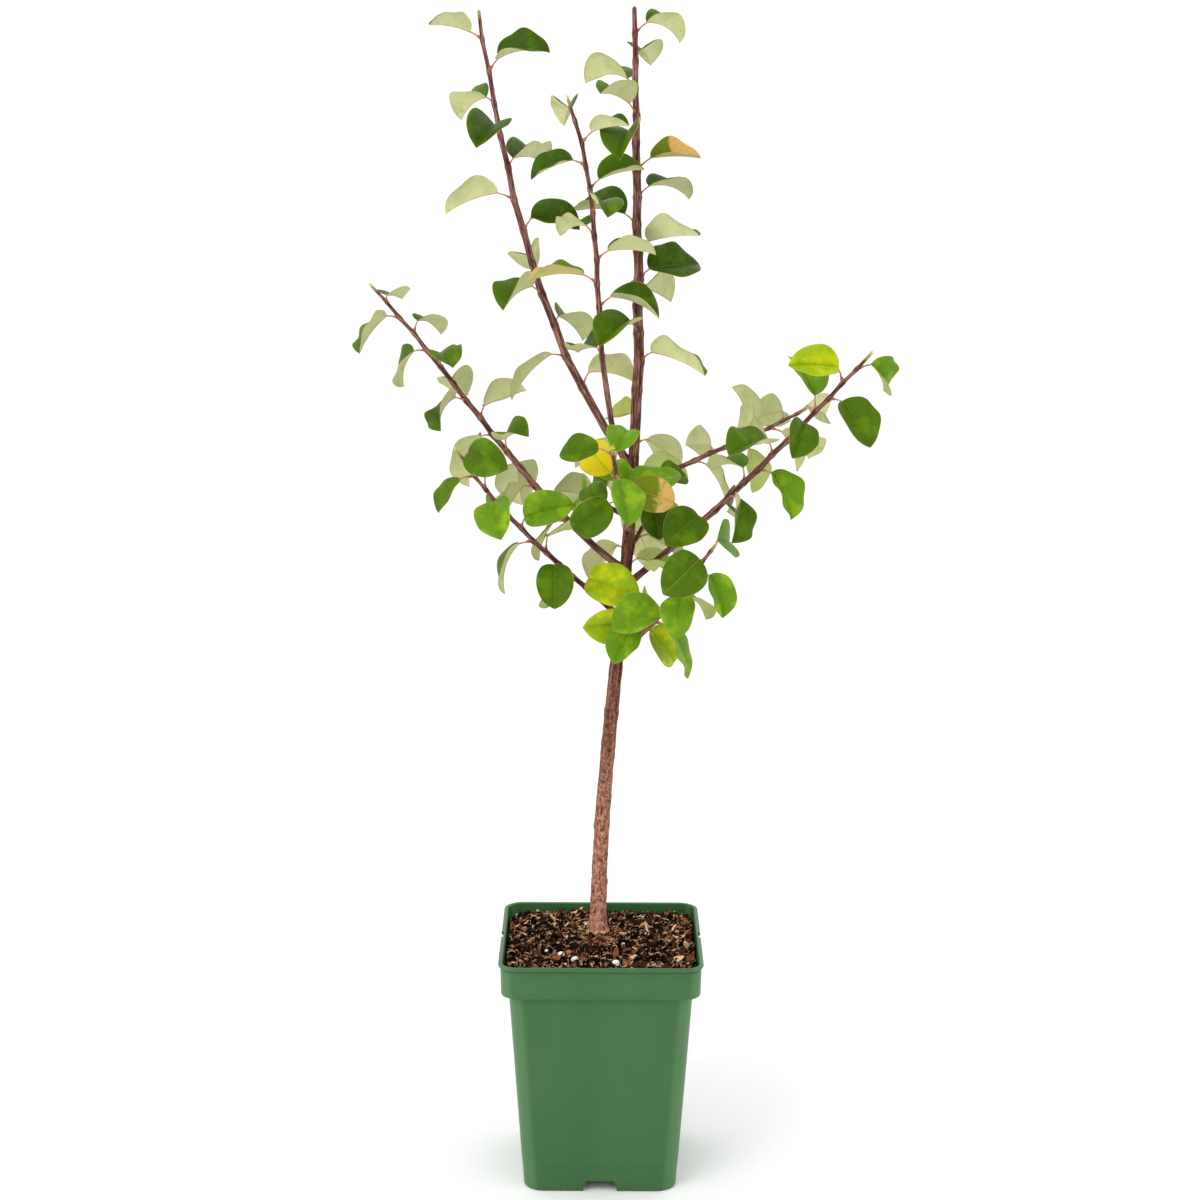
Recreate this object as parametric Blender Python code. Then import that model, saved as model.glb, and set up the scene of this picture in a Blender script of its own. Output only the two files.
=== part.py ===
"""A young quince tree, about a metre tall, growing in a square green nursery pot.

Everything stands on the pot's underside at z = 0, with the pot's middle at x = y = 0. +X is to the
right and -Y is the front. Sizes are in metres and angles in degrees.

The tree is a trunk, one tapering bough for the lower length of each shoot, and one mass of foliage for
the leafy rest of it. A mass is a single stem with its leaves fused on. Short spurs on the trunk carry
small masses of their own.
"""

import math
import random
from typing import NamedTuple

import bmesh
import bpy
from mathutils import Matrix, Vector
from mathutils.bvhtree import BVHTree

GAP = 0.0003  # left between pieces that touch
WELD = 0.00001

# The pot: a tapered square body, a wider band round its top and a thin lip on the band.
POT_HEIGHT = 0.260
LIP_WIDTH = 0.2150
LIP_HEIGHT = 0.0040
LIP_RADIUS = 0.0205
LIP_BULGE = 0.0003  # how far the lip's middle stands out past its lower edge
LIP_ROLL = 0.0010  # and how far its top edge draws in
LIP_WALL = 0.0046
LIP_UNDERCUT = 0.0012  # the groove under the lip
BAND_TOP_WIDTH = 0.2104
BAND_FOOT_WIDTH = 0.2092
BAND_DEPTH = 0.0350
BAND_RADIUS = 0.0190
BAND_EDGE = 0.0015  # the rounding of the band's lower edge
BODY_TOP_WIDTH = 0.1940
BODY_FOOT_WIDTH = 0.1632
BODY_RADIUS = 0.0220
BODY_STEP = 0.0005  # how far the body runs up behind the band's edge
FOOT_BEVEL = 0.0020
WALL = 0.0018
CORNER_STEPS = 5
NOTCH_HEIGHT = 0.0122
NOTCH_TOP_WIDTH = 0.0300
NOTCH_FOOT_WIDTH = 0.0380
NOTCH_REACH = 0.0340
SLOT_WIDTH = 0.0065
SLOT_HEIGHT = 0.0030
SLOT_DEPTH = 0.0040
SLOT_RISE = 0.0005  # the slot's middle above the lip's lower edge

# The potting mix, level at the wall and mounded round the trunk's foot.
MIX_DEPTH_BELOW_RIM = 0.0120
MOUND_TOP_BELOW_RIM = 0.0013
MOUND_RINGS = ((0.060, 0.25), (0.0288, 0.80), (0.018, 1.00))  # radius, share of the mound's rise

# The trunk: leans are from the vertical at its foot, middle and top.
TRUNK_FOOT_X = -0.0030
TRUNK_FOOT_Y = 0.0180
TRUNK_LENGTH = 0.5210
TRUNK_LEANS = (0.0, 5.2, 2.4)
TRUNK_STEPS = 16
TRUNK_FOOT_RADIUS = 0.0088
TRUNK_TOP_RADIUS = 0.0058
FLARE = 0.0028
FLARE_HEIGHT = 0.0140
FLARE_STEPS = (0.18, 0.42, 0.70)  # extra rings within the trunk's first step
LIMB_ROUNDNESS = 2  # eight sides
TWIG_ROUNDNESS = 1  # six sides
LIMB_TAPER = 1.8  # above 1, a limb keeps its thickness and thins late
BOUGH_END = 0.6  # how far a bough runs on from its last bare point towards its first leaf

# Leaves: they follow one another round a shoot by two fifths of a turn.
SPIRAL_TURN = 144.0
KINK = 3.0  # how far each internode turns away from the leaf below it
PETIOLE_LENGTH = 0.0120
PETIOLE_RADIUS = 0.0011
PETIOLE_TIP = 0.8  # its radius at the blade over that at its foot
PETIOLE_ANGLE = 50.0  # from the shoot's heading
PETIOLE_REACHES = (0.8, 1.2)
TURN_CHANCE = 25.0  # how far a leaf stands out of its place in the spiral
ROLL_CHANCE = 34.0
DROOP_CHANCES = (-0.25, 0.30)
LENGTH_CHANCES = (0.85, 1.12)
FOLDS = (8, 28)
HIGH_FOLD = 28.0  # how much more a blade is folded at the top of the crown
ARCHES = (15, 60)
OUTWARD = 0.95  # how much a blade points out from the shoot
ONWARD = 0.30  # and along it
LEAF_RATIO = 0.84  # width over length
LEAF_THICKNESS = 0.0014
LEAF_STATIONS = (0.13, 0.45, 0.80)
LEAF_SHAPE = 0.86  # below 1, the leaf is widest nearer its foot
LEAF_ROUNDING = 0.58
TIP_LEAF_SHARE = 0.86  # the youngest leaf's length over the oldest's
TIP_LEAF_POWER = 0.6
INTERNODE_POWER = 0.97  # internodes shorten a little towards the tip
BUD_SHARE = 0.06  # the share of a shoot's length above its last leaf
LOW_DROOP = 0.75  # how far leaves hang at the foot of the crown
HIGH_DROOP = -0.06  # and at its top
CROWN_FOOT = 0.55
CROWN_TOP = 1.20
LIGHT = Vector((0.0, -0.18, 0.0))  # how strongly a blade turns its upper side to the front
LEAF_CLEARANCE = 0.0015
LIMB_CLEARANCE = 0.0020
LEAF_TRIES = 14
SAMPLE_SPACING = 0.006


class Shoot(NamedTuple):
    """A shoot, from the trunk to its tip. Heights are where it leaves the trunk's centre line."""

    name: str
    height: float
    azimuth: float
    leans: tuple
    length: float
    foot_radius: float
    tip_radius: float
    bare: float  # the share of its length below the first leaf
    leaves: int
    phase: float  # where the first leaf points, round the shoot
    hand: int  # +1 or -1, the way its spiral turns
    leaf_length: float
    seed: int


SHOOTS = (
    Shoot("leader", 0.0, 0, (3.1, -0.8, -0.7), 0.4560, 0.0056, 0.0023, 0.15, 14, 90, 1, 0.066, 1),
    Shoot("left_leader", 0.7640, 152, (42, 19, 11), 0.5110, 0.0043, 0.0018, 0.20, 12, 90, -1, 0.065, 2),
    Shoot("middle_shoot", 0.7480, 215, (30, 4, 26), 0.4080, 0.0031, 0.0017, 0.35, 11, 180, 1, 0.055, 3),
    Shoot("left_bough", 0.6554, 158, (58, 42, 48), 0.4150, 0.0037, 0.0016, 0.20, 14, 270, -1, 0.060, 4),
    Shoot("low_left_bough", 0.6057, 205, (48, 46, 33), 0.2670, 0.0030, 0.0014, 0.20, 11, 45, 1, 0.055, 5),
    Shoot("right_bough", 0.6385, -22, (50, 45, 42), 0.3690, 0.0037, 0.0016, 0.30, 12, 135, -1, 0.060, 6),
    Shoot("upper_right_bough", 0.7436, 28, (70, 73, 67), 0.2270, 0.0028, 0.0015, 0.35, 8, 225, 1, 0.058, 7),
    Shoot("low_right_bough", 0.5669, -48, (58, 45, 42), 0.2030, 0.0028, 0.0015, 0.35, 8, 315, -1, 0.058, 8),
    Shoot("front_bough", 0.7000, 262, (60, 52, 38), 0.1700, 0.0027, 0.0015, 0.35, 7, 60, 1, 0.057, 9),
    Shoot("back_bough", 0.6200, 84, (55, 46, 36), 0.2600, 0.0031, 0.0015, 0.20, 9, 150, -1, 0.058, 10),
)

SPURS = (
    Shoot("high_spur", 0.7300, 300, (70, 60, 50), 0.0500, 0.0026, 0.0016, 0.35, 3, 120, 1, 0.050, 11),
    Shoot("left_spur", 0.7150, 190, (75, 60, 50), 0.0520, 0.0026, 0.0016, 0.50, 4, 90, -1, 0.050, 12),
    Shoot("back_spur", 0.6800, 60, (70, 60, 50), 0.0550, 0.0026, 0.0016, 0.35, 3, 180, 1, 0.052, 13),
    Shoot("low_spur", 0.5850, 310, (75, 60, 50), 0.0420, 0.0026, 0.0016, 0.35, 5, 270, -1, 0.052, 14),
)

COLOURS = {  # base colour, roughness
    "green_plastic": ((0.085, 0.230, 0.085), 0.42),
    "bark_mix": ((0.075, 0.035, 0.018), 0.95),
    "trunk_bark": ((0.270, 0.130, 0.090), 0.80),
    "shoot_bark": ((0.160, 0.060, 0.050), 0.60),
    "leaf_green": ((0.060, 0.190, 0.020), 0.45),
}


class Leaf(NamedTuple):
    """One leaf: a petiole from the shoot's centre line, then a folded blade that arches over."""

    foot: Vector
    base: Vector
    along: Vector
    side: Vector
    up: Vector
    length: float
    fold: float
    arch: float


def clear_scene():
    for old in list(bpy.data.objects):
        bpy.data.objects.remove(old)


def make_material(name):
    colour, roughness = COLOURS[name]
    material = bpy.data.materials.new(name)
    material.use_nodes = True
    shader = material.node_tree.nodes["Principled BSDF"]
    shader.inputs["Base Color"].default_value = (*colour, 1)
    shader.inputs["Roughness"].default_value = roughness
    shader.inputs["Metallic"].default_value = 0
    return material


def make_collection(name):
    collection = bpy.data.collections.new(name)
    bpy.context.scene.collection.children.link(collection)
    return collection


def add_object(name, mesh, collection):
    thing = bpy.data.objects.new(name, mesh)
    collection.objects.link(thing)
    return thing


# ---- how limbs and leaves grow ----


def direction(lean, azimuth):
    lean = math.radians(lean)
    azimuth = math.radians(azimuth)
    out = math.sin(lean)
    return Vector((out * math.cos(azimuth), out * math.sin(azimuth), math.cos(lean)))


def lean_at(leans, share):
    """The lean part of the way along, from those at the foot, middle and tip."""
    foot, middle, tip = leans
    rest = 1 - share
    return foot * rest * (rest - share) + middle * 4 * share * rest + tip * share * (share - rest)


def node_shares(shoot):
    """Where the leaves stand, as shares of the shoot's length."""
    leafy = 1 - shoot.bare - BUD_SHARE
    last = shoot.leaves - 1
    return [shoot.bare + leafy * (i / last) ** INTERNODE_POWER for i in range(shoot.leaves)]


def round_the_shoot(heading, angle):
    """A direction square to the heading, at an angle round it."""
    level = Vector((0, 0, 1)).cross(heading)
    level = level.normalized() if level.length > 0.01 else Vector((1, 0, 0))
    angle = math.radians(angle)
    return (level * math.cos(angle) + heading.cross(level) * math.sin(angle)).normalized()


def trunk_path(foot):
    """The trunk's centre line. Its first step is upright, so its foot is cut level."""
    step = TRUNK_LENGTH / TRUNK_STEPS
    points = [foot]
    for i in range(TRUNK_STEPS):
        lean = lean_at(TRUNK_LEANS, (i + 0.5) / TRUNK_STEPS) if i else 0
        points.append(points[-1] + direction(lean, 0) * step)
    return points


def point_at_height(points, height):
    for low, high in zip(points, points[1:]):
        if low.z <= height <= high.z:
            return low.lerp(high, (height - low.z) / (high.z - low.z))
    return points[-1].copy()


def shoot_path(shoot, start):
    """Its points and shares of length: two on the bare foot, one at each leaf and the bud."""
    shares = [0, shoot.bare / 2, *node_shares(shoot), 1]
    points = [start]
    for i, (low, high) in enumerate(zip(shares, shares[1:])):
        heading = direction(lean_at(shoot.leans, (low + high) / 2), shoot.azimuth)
        if i > 1:
            away = round_the_shoot(heading, shoot.phase + shoot.hand * SPIRAL_TURN * (i - 2))
            heading = (heading - away * math.tan(math.radians(KINK))).normalized()
        points.append(points[-1] + heading * shoot.length * (high - low))
    return points, shares


def radius_at(shoot, share):
    return shoot.foot_radius + (shoot.tip_radius - shoot.foot_radius) * share**LIMB_TAPER


def grow_leaf(shoot, index, foot, heading, chance):
    """A leaf at one node. Low leaves hang more, high ones are folded more, and chance does the rest."""
    age = 1 - index / (shoot.leaves - 1)
    turn = shoot.phase + shoot.hand * SPIRAL_TURN * index + chance.uniform(-TURN_CHANCE, TURN_CHANCE)
    outward = round_the_shoot(heading, turn)
    slant = math.radians(PETIOLE_ANGLE)
    petiole = heading * math.cos(slant) + outward * math.sin(slant)
    rise = min(1, max(0, (foot.z - CROWN_FOOT) / (CROWN_TOP - CROWN_FOOT)))
    droop = LOW_DROOP + (HIGH_DROOP - LOW_DROOP) * rise + chance.uniform(*DROOP_CHANCES)
    along = (outward * OUTWARD + heading * ONWARD - Vector((0, 0, droop))).normalized()
    side = heading.cross(outward)
    side = (along.cross(side) + LIGHT).cross(along).normalized()
    roll = math.radians(chance.uniform(-ROLL_CHANCE, ROLL_CHANCE))
    side = Matrix.Rotation(roll, 3, along) @ side
    size = TIP_LEAF_SHARE + (1 - TIP_LEAF_SHARE) * age**TIP_LEAF_POWER
    length = shoot.leaf_length * size * chance.uniform(*LENGTH_CHANCES)
    fold = math.radians(chance.uniform(*FOLDS) + HIGH_FOLD * rise)
    arch = math.radians(chance.uniform(*ARCHES))
    reach = PETIOLE_LENGTH * chance.uniform(*PETIOLE_REACHES) + radius_at(shoot, 0)
    return Leaf(foot, foot + petiole * reach, along, side, along.cross(side), length, fold, arch)


def half_width(leaf, share):
    return leaf.length * LEAF_RATIO / 2 * math.sin(math.pi * share**LEAF_SHAPE) ** LEAF_ROUNDING


def blade_point(leaf, share, across, lift=0.0):
    """A point of the blade: share runs from its base to its tip, across from -1 to 1."""
    bend = leaf.arch * share
    rise = leaf.along * math.sin(bend) + leaf.up * (math.cos(bend) - 1)
    rib = leaf.base + rise * leaf.length / leaf.arch
    up = leaf.up * math.cos(bend) + leaf.along * math.sin(bend)
    if not across:
        return rib + up * lift
    reach = abs(across) * half_width(leaf, share)
    out = math.copysign(reach * math.cos(leaf.fold), across)
    return rib + leaf.side * out + up * (reach * math.sin(leaf.fold) + lift)


def blade_shell(leaf, thickness):
    """The blade's sections, each of four points: an edge, the rib's top, the other edge, its underside."""
    sections = []
    for share in LEAF_STATIONS:
        left = blade_point(leaf, share, -1)
        top = blade_point(leaf, share, 0, thickness / 2)
        right = blade_point(leaf, share, 1)
        below = blade_point(leaf, share, 0, -thickness / 2)
        sections.append((left, top, right, below))
    return sections


def petiole_ring(leaf, centre, radius):
    side = leaf.side * radius
    up = leaf.up * radius
    return (centre - side, centre + up, centre + side, centre - up)


def skin(sections, tip=None):
    """Vertices and faces of the closed skin over rings of equal counts, ending on a tip if one is given."""
    count = len(sections[0])
    vertices = [point for section in sections for point in section]
    triangles = []
    for row in range(len(sections) - 1):
        for i in range(count):
            a = row * count + i
            b = row * count + (i + 1) % count
            c, d = b + count, a + count
            triangles += [(a, b, d), (b, c, d)] if i % 2 == 0 else [(a, b, c), (a, c, d)]
    last = (len(sections) - 1) * count
    if tip is not None:
        vertices.append(tip)
        triangles += [(last + i, last + (i + 1) % count, len(vertices) - 1) for i in range(count)]
    else:
        triangles.append(tuple(last + i for i in range(count)))
    triangles.append(tuple(reversed(range(count))))
    return vertices, triangles


def blade_tree(leaf):
    """What other leaves and limbs are kept clear of: the blade, thickened by its clearance."""
    sections = [petiole_ring(leaf, leaf.base, LEAF_CLEARANCE)] + blade_shell(leaf, 2 * LEAF_CLEARANCE)
    vertices, faces = skin(sections, blade_point(leaf, 1, 0))
    return BVHTree.FromPolygons(vertices, faces)


def limb_samples(points, radii):
    """Points with radii, close together along a limb, for keeping leaves clear of it."""
    samples = []
    for low, high, first, last in zip(points, points[1:], radii, radii[1:]):
        count = max(1, round((high - low).length / SAMPLE_SPACING))
        for i in range(count):
            samples.append((low.lerp(high, i / count), first + (last - first) * i / count))
    return samples


def is_clear(tree, others, samples):
    if any(tree.overlap(other) for other in others):
        return False
    return not any(tree.find_nearest(point, radius + LIMB_CLEARANCE)[0] for point, radius in samples)


def grow_leaves(shoot, points, others, samples):
    """The shoot's leaves. One that would touch a leaf or a limb is tried again, and at last left out."""
    chance = random.Random(shoot.seed)
    leaves = []
    for index in range(shoot.leaves):
        foot = points[index + 2]
        heading = (foot - points[index + 1]).normalized()
        for _ in range(LEAF_TRIES):
            leaf = grow_leaf(shoot, index, foot, heading, chance)
            tree = blade_tree(leaf)
            if is_clear(tree, others, samples):
                leaves.append(leaf)
                others.append(tree)
                break
    return leaves


# ---- solids ----


def evaluated_mesh(thing):
    """The object's mesh with its modifiers, or its curve's tube, worked out."""
    bpy.context.view_layer.update()
    return bpy.data.meshes.new_from_object(thing.evaluated_get(bpy.context.evaluated_depsgraph_get()))


def paint(thing, material):
    thing.data.materials.clear()
    thing.data.materials.append(material)


def mesh_of(name, vertices, faces):
    mesh = bpy.data.meshes.new(name)
    mesh.from_pydata(vertices, [], faces)
    shape = bmesh.new()
    shape.from_mesh(mesh)
    bmesh.ops.recalc_face_normals(shape, faces=shape.faces)
    shape.to_mesh(mesh)
    shape.free()
    return mesh


def limb(name, points, radii, roundness, collection):
    """A tapering limb, closed by flat ends, as a mesh."""
    curve = bpy.data.curves.new(name, "CURVE")
    curve.dimensions = "3D"
    curve.bevel_depth = 1
    curve.bevel_resolution = roundness
    curve.use_fill_caps = True
    spline = curve.splines.new("POLY")
    spline.points.add(len(points) - 1)
    for knot, point, radius in zip(spline.points, points, radii):
        knot.co = (*point, 1)
        knot.radius = radius
    guide = add_object(name, curve, collection)
    mesh = evaluated_mesh(guide)
    bpy.data.objects.remove(guide)
    shape = bmesh.new()
    shape.from_mesh(mesh)
    bmesh.ops.remove_doubles(shape, verts=shape.verts, dist=WELD)
    bmesh.ops.recalc_face_normals(shape, faces=shape.faces)
    shape.to_mesh(mesh)
    shape.free()
    mesh.name = name
    return add_object(name, mesh, collection)


def keep_largest_body(mesh):
    """Drops any loose scrap or hollow that a Boolean leaves. Says whether what is left is closed."""
    shape = bmesh.new()
    shape.from_mesh(mesh)
    bodies = []
    left = set(shape.verts)
    while left:
        body = {left.pop()}
        edge = list(body)
        while edge:
            near = {link.other_vert(vertex) for vertex in edge for link in vertex.link_edges} - body
            body |= near
            edge = list(near)
        left -= body
        bodies.append(body)
    bodies.sort(key=len)
    scraps = [vertex for body in bodies[:-1] for vertex in body]
    bmesh.ops.delete(shape, geom=scraps, context="VERTS")
    closed = all(edge.is_manifold for edge in shape.edges)
    shape.to_mesh(mesh)
    shape.free()
    return closed


def apply_boolean(thing, operation, collection):
    """Applies a Boolean against a whole collection, by the second solver where the first leaves a fault."""
    boolean = thing.modifiers.new(operation, "BOOLEAN")
    boolean.operation = operation
    boolean.operand_type = "COLLECTION"
    boolean.collection = collection
    for solver in ("EXACT", "MANIFOLD"):
        boolean.solver = solver
        mesh = evaluated_mesh(thing)
        if keep_largest_body(mesh):
            break
    thing.modifiers.remove(boolean)
    thing.data = mesh


def empty_collection(collection):
    for thing in list(collection.objects):
        bpy.data.objects.remove(thing)


def hide_cutter(thing):
    thing.hide_render = True
    thing.display_type = "WIRE"


def body_width(height):
    """The tapered body's width, carried on up to the rim."""
    shoulder = POT_HEIGHT - BAND_DEPTH
    return BODY_FOOT_WIDTH + (BODY_TOP_WIDTH - BODY_FOOT_WIDTH) * height / shoulder


def square_loft(name, rings, collection):
    """A solid skinned over rounded squares, each a width, a corner radius and a height."""
    return add_object(name, mesh_of(name, *skin([square_ring(*ring) for ring in rings])), collection)


def square_ring(width, radius, height):
    """The outline of a square with rounded corners, at a height."""
    ring = []
    for corner in range(4):
        middle = Vector((width / 2 - radius, width / 2 - radius, 0))
        for step in range(CORNER_STEPS + 1):
            angle = math.radians(90 * step / CORNER_STEPS)
            point = middle + Vector((math.cos(angle), math.sin(angle), 0)) * radius
            turn = Matrix.Rotation(math.radians(90 * corner), 3, "Z")
            ring.append(turn @ point + Vector((0, 0, height)))
    return ring


def notch_block(name, grow, collection):
    """The space of the four drain notches, made larger by a margin."""
    foot, top = NOTCH_FOOT_WIDTH / 2 + grow, NOTCH_TOP_WIDTH / 2 + grow
    outer, inner = BODY_TOP_WIDTH / 2, BODY_FOOT_WIDTH / 2 - NOTCH_REACH - grow
    roof = NOTCH_HEIGHT + grow
    for side in range(4):
        turn = Matrix.Rotation(math.radians(90 * side), 3, "Z")
        sections = []
        for x in (inner, outer):
            below = ((-foot, -WALL), (foot, -WALL))
            corners = (*below, (foot, 0), (top, roof), (-top, roof), (-foot, 0))
            sections.append([turn @ Vector((x, y, z)) for y, z in corners])
        block = add_object(f"{name}_{side}", mesh_of(name, *skin(sections)), collection)
        hide_cutter(block)


def lip_slot(side, collection):
    """The space of the small slot in the middle of the lip, on the left or right."""
    bpy.ops.mesh.primitive_cube_add(size=1)
    slot = bpy.context.object
    slot.name = "lip_slot"
    slot.scale = (SLOT_DEPTH, SLOT_WIDTH, SLOT_HEIGHT)
    slot.location = (side * LIP_WIDTH / 2, 0, POT_HEIGHT - LIP_HEIGHT + SLOT_RISE)
    for home in list(slot.users_collection):
        home.objects.unlink(slot)
    collection.objects.link(slot)
    hide_cutter(slot)


def make_pot(parts, cutters, material):
    """The pot: its outside less its hollow, with drain notches and a slot in the lip at each side."""
    shoulder = POT_HEIGHT - BAND_DEPTH
    band_top = POT_HEIGHT - LIP_HEIGHT
    inner_lip = LIP_WIDTH - 2 * LIP_WALL
    outside = (
        (BODY_FOOT_WIDTH - 2 * FOOT_BEVEL, BODY_RADIUS - FOOT_BEVEL, 0),
        (BODY_FOOT_WIDTH, BODY_RADIUS, FOOT_BEVEL),
        (BODY_TOP_WIDTH, BODY_RADIUS, shoulder + BODY_STEP),
        (BAND_FOOT_WIDTH - FOOT_BEVEL, BAND_RADIUS, shoulder),
        (BAND_FOOT_WIDTH, BAND_RADIUS, shoulder + BAND_EDGE),
        (BAND_TOP_WIDTH, BAND_RADIUS, band_top - LIP_UNDERCUT),
        (LIP_WIDTH, LIP_RADIUS, band_top),
        (LIP_WIDTH + LIP_BULGE, LIP_RADIUS, band_top + LIP_HEIGHT / 2),
        (LIP_WIDTH - LIP_ROLL, LIP_RADIUS, POT_HEIGHT),
    )
    pot = square_loft("pot", outside, parts)
    hollow = (
        (body_width(0) - 2 * WALL, BODY_RADIUS - WALL, 2 * WALL),
        (body_width(shoulder) - 2 * WALL, BODY_RADIUS - WALL, shoulder),
        (BAND_FOOT_WIDTH - 4 * WALL, BAND_RADIUS - WALL, shoulder + 4 * WALL),
        (inner_lip, LIP_RADIUS - LIP_WALL, POT_HEIGHT - LIP_ROLL),
        (inner_lip, LIP_RADIUS - LIP_WALL, POT_HEIGHT + LIP_HEIGHT),
    )
    room = square_loft("hollow", hollow, parts)
    notch_block("notch_wall", WALL, cutters)
    apply_boolean(room, "DIFFERENCE", cutters)
    empty_collection(cutters)
    notch_block("notch", 0, cutters)
    for side in (-1, 1):
        lip_slot(side, cutters)
    cutters.objects.link(room)
    parts.objects.unlink(room)
    apply_boolean(pot, "DIFFERENCE", cutters)
    empty_collection(cutters)
    paint(pot, material)


def make_mix(parts, cutters, trunk_foot, material):
    """The potting mix, filling the pot to near its rim, with a mound whose flat top seats the trunk."""
    shoulder = POT_HEIGHT - BAND_DEPTH
    level = POT_HEIGHT - MIX_DEPTH_BELOW_RIM
    narrow = 2 * (WALL + GAP)
    wide = BAND_FOOT_WIDTH - 4 * WALL - 3 * GAP
    rings = [
        square_ring(body_width(0) - narrow, BODY_RADIUS - WALL - GAP, 2 * WALL + GAP),
        square_ring(body_width(shoulder) - narrow, BODY_RADIUS - WALL - GAP, shoulder),
        square_ring(wide, BAND_RADIUS - WALL - GAP, shoulder + 4 * WALL + GAP),
        square_ring(wide, BAND_RADIUS - WALL - GAP, level),
    ]
    ways = [Vector((point.x, point.y, 0)).normalized() for point in rings[-1]]
    for radius, share in MOUND_RINGS:
        height = level + share * (MIX_DEPTH_BELOW_RIM - MOUND_TOP_BELOW_RIM)
        middle = Vector((trunk_foot.x, trunk_foot.y, height))
        rings.append([middle + way * radius for way in ways])
    mix = add_object("potting_mix", mesh_of("potting_mix", *skin(rings)), parts)
    notch_block("mix_notch", WALL + GAP, cutters)
    apply_boolean(mix, "DIFFERENCE", cutters)
    empty_collection(cutters)
    paint(mix, material)


def trunk_radius(height):
    """The trunk's radius at a height above its foot: a straight taper and the root flare."""
    taper = TRUNK_FOOT_RADIUS + (TRUNK_TOP_RADIUS - TRUNK_FOOT_RADIUS) * height / TRUNK_LENGTH
    return taper + FLARE * math.exp(-height / FLARE_HEIGHT)


def trunk_points(path):
    """The trunk's path with closer points where its foot flares."""
    foot, first = path[0], path[1]
    return [foot, *(foot.lerp(first, share) for share in FLARE_STEPS), *path[1:]]


def cut_clear(thing, parents, cutters):
    """Cuts what would reach into the limbs it grows from, leaving the gap."""
    for points, radii in parents:
        limb("parent", points, [radius + GAP for radius in radii], LIMB_ROUNDNESS, cutters)
    apply_boolean(thing, "DIFFERENCE", cutters)
    empty_collection(cutters)


def leaf_mesh(leaf):
    """One leaf, closed: its petiole and its blade."""
    rings = [
        petiole_ring(leaf, leaf.foot, PETIOLE_RADIUS),
        petiole_ring(leaf, leaf.base, PETIOLE_RADIUS * PETIOLE_TIP),
    ]
    return mesh_of("leaf", *skin(rings + blade_shell(leaf, LEAF_THICKNESS), blade_point(leaf, 1, 0)))


def make_mass(name, points, radii, leaves, parts, cutters, material):
    """One mass of foliage: its stem with every leaf fused on."""
    stem = limb(name, points, radii, TWIG_ROUNDNESS, parts)
    for leaf in leaves:
        add_object("leaf", leaf_mesh(leaf), cutters)
    apply_boolean(stem, "UNION", cutters)
    empty_collection(cutters)
    paint(stem, material)
    return stem


def main():
    clear_scene()
    parts = make_collection("potted_quince_tree")
    cutters = make_collection("cutters")
    materials = {name: make_material(name) for name in COLOURS}
    bark = materials["shoot_bark"]
    green = materials["leaf_green"]

    foot = Vector((TRUNK_FOOT_X, TRUNK_FOOT_Y, POT_HEIGHT - MOUND_TOP_BELOW_RIM + GAP))
    make_pot(parts, cutters, materials["green_plastic"])
    make_mix(parts, cutters, foot, materials["bark_mix"])

    path = trunk_path(foot)
    trunk_line = trunk_points(path)
    trunk_radii = [trunk_radius(point.z - foot.z) for point in trunk_line]
    paint(limb("trunk", trunk_line, trunk_radii, LIMB_ROUNDNESS, parts), materials["trunk_bark"])

    grown = []
    samples = limb_samples(trunk_line, trunk_radii)
    for shoot in SHOOTS + SPURS:
        start = point_at_height(path, shoot.height) if shoot.height else path[-1] + Vector((0, 0, GAP))
        points, shares = shoot_path(shoot, start)
        radii = [radius_at(shoot, share) for share in shares]
        grown.append((shoot, points, radii))
        samples += limb_samples(points, radii)

    others = []
    for shoot, points, radii in grown:
        leaves = grow_leaves(shoot, points, others, samples)
        mass_name = f"{shoot.name}_leaves"
        parents = [(trunk_line, trunk_radii)] if shoot.height else []
        if shoot in SPURS:
            mass = make_mass(mass_name, points, radii, leaves, parts, cutters, green)
            cut_clear(mass, parents, cutters)
            continue
        end = points[1].lerp(points[2], BOUGH_END)
        end_radius = radii[1] + (radii[2] - radii[1]) * BOUGH_END
        bough = limb(shoot.name, [*points[:2], end], [*radii[:2], end_radius], LIMB_ROUNDNESS, parts)
        if parents:
            cut_clear(bough, parents, cutters)
        paint(bough, bark)
        begin = end + (points[2] - points[1]).normalized() * GAP
        stem_points = [begin, *points[2:]]
        stem_radii = [end_radius, *radii[2:]]
        make_mass(mass_name, stem_points, stem_radii, leaves, parts, cutters, green)


main()
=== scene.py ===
"""A young quince tree in a square green nursery pot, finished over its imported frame.

Everything is in metres and in the frame's own place: the pot stands on z = 0 with its middle at
x = y = 0, +X is to the right and -Y is the front. Limbs and leaves grow by the same rule and the same
seeds as the frame's solids, carried on to petioles, buds and veined blades.
"""

import math
import random
from typing import NamedTuple

import bmesh
import bpy
import numpy as np
from mathutils import Euler, Matrix, Vector, noise
from mathutils.bvhtree import BVHTree


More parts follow.
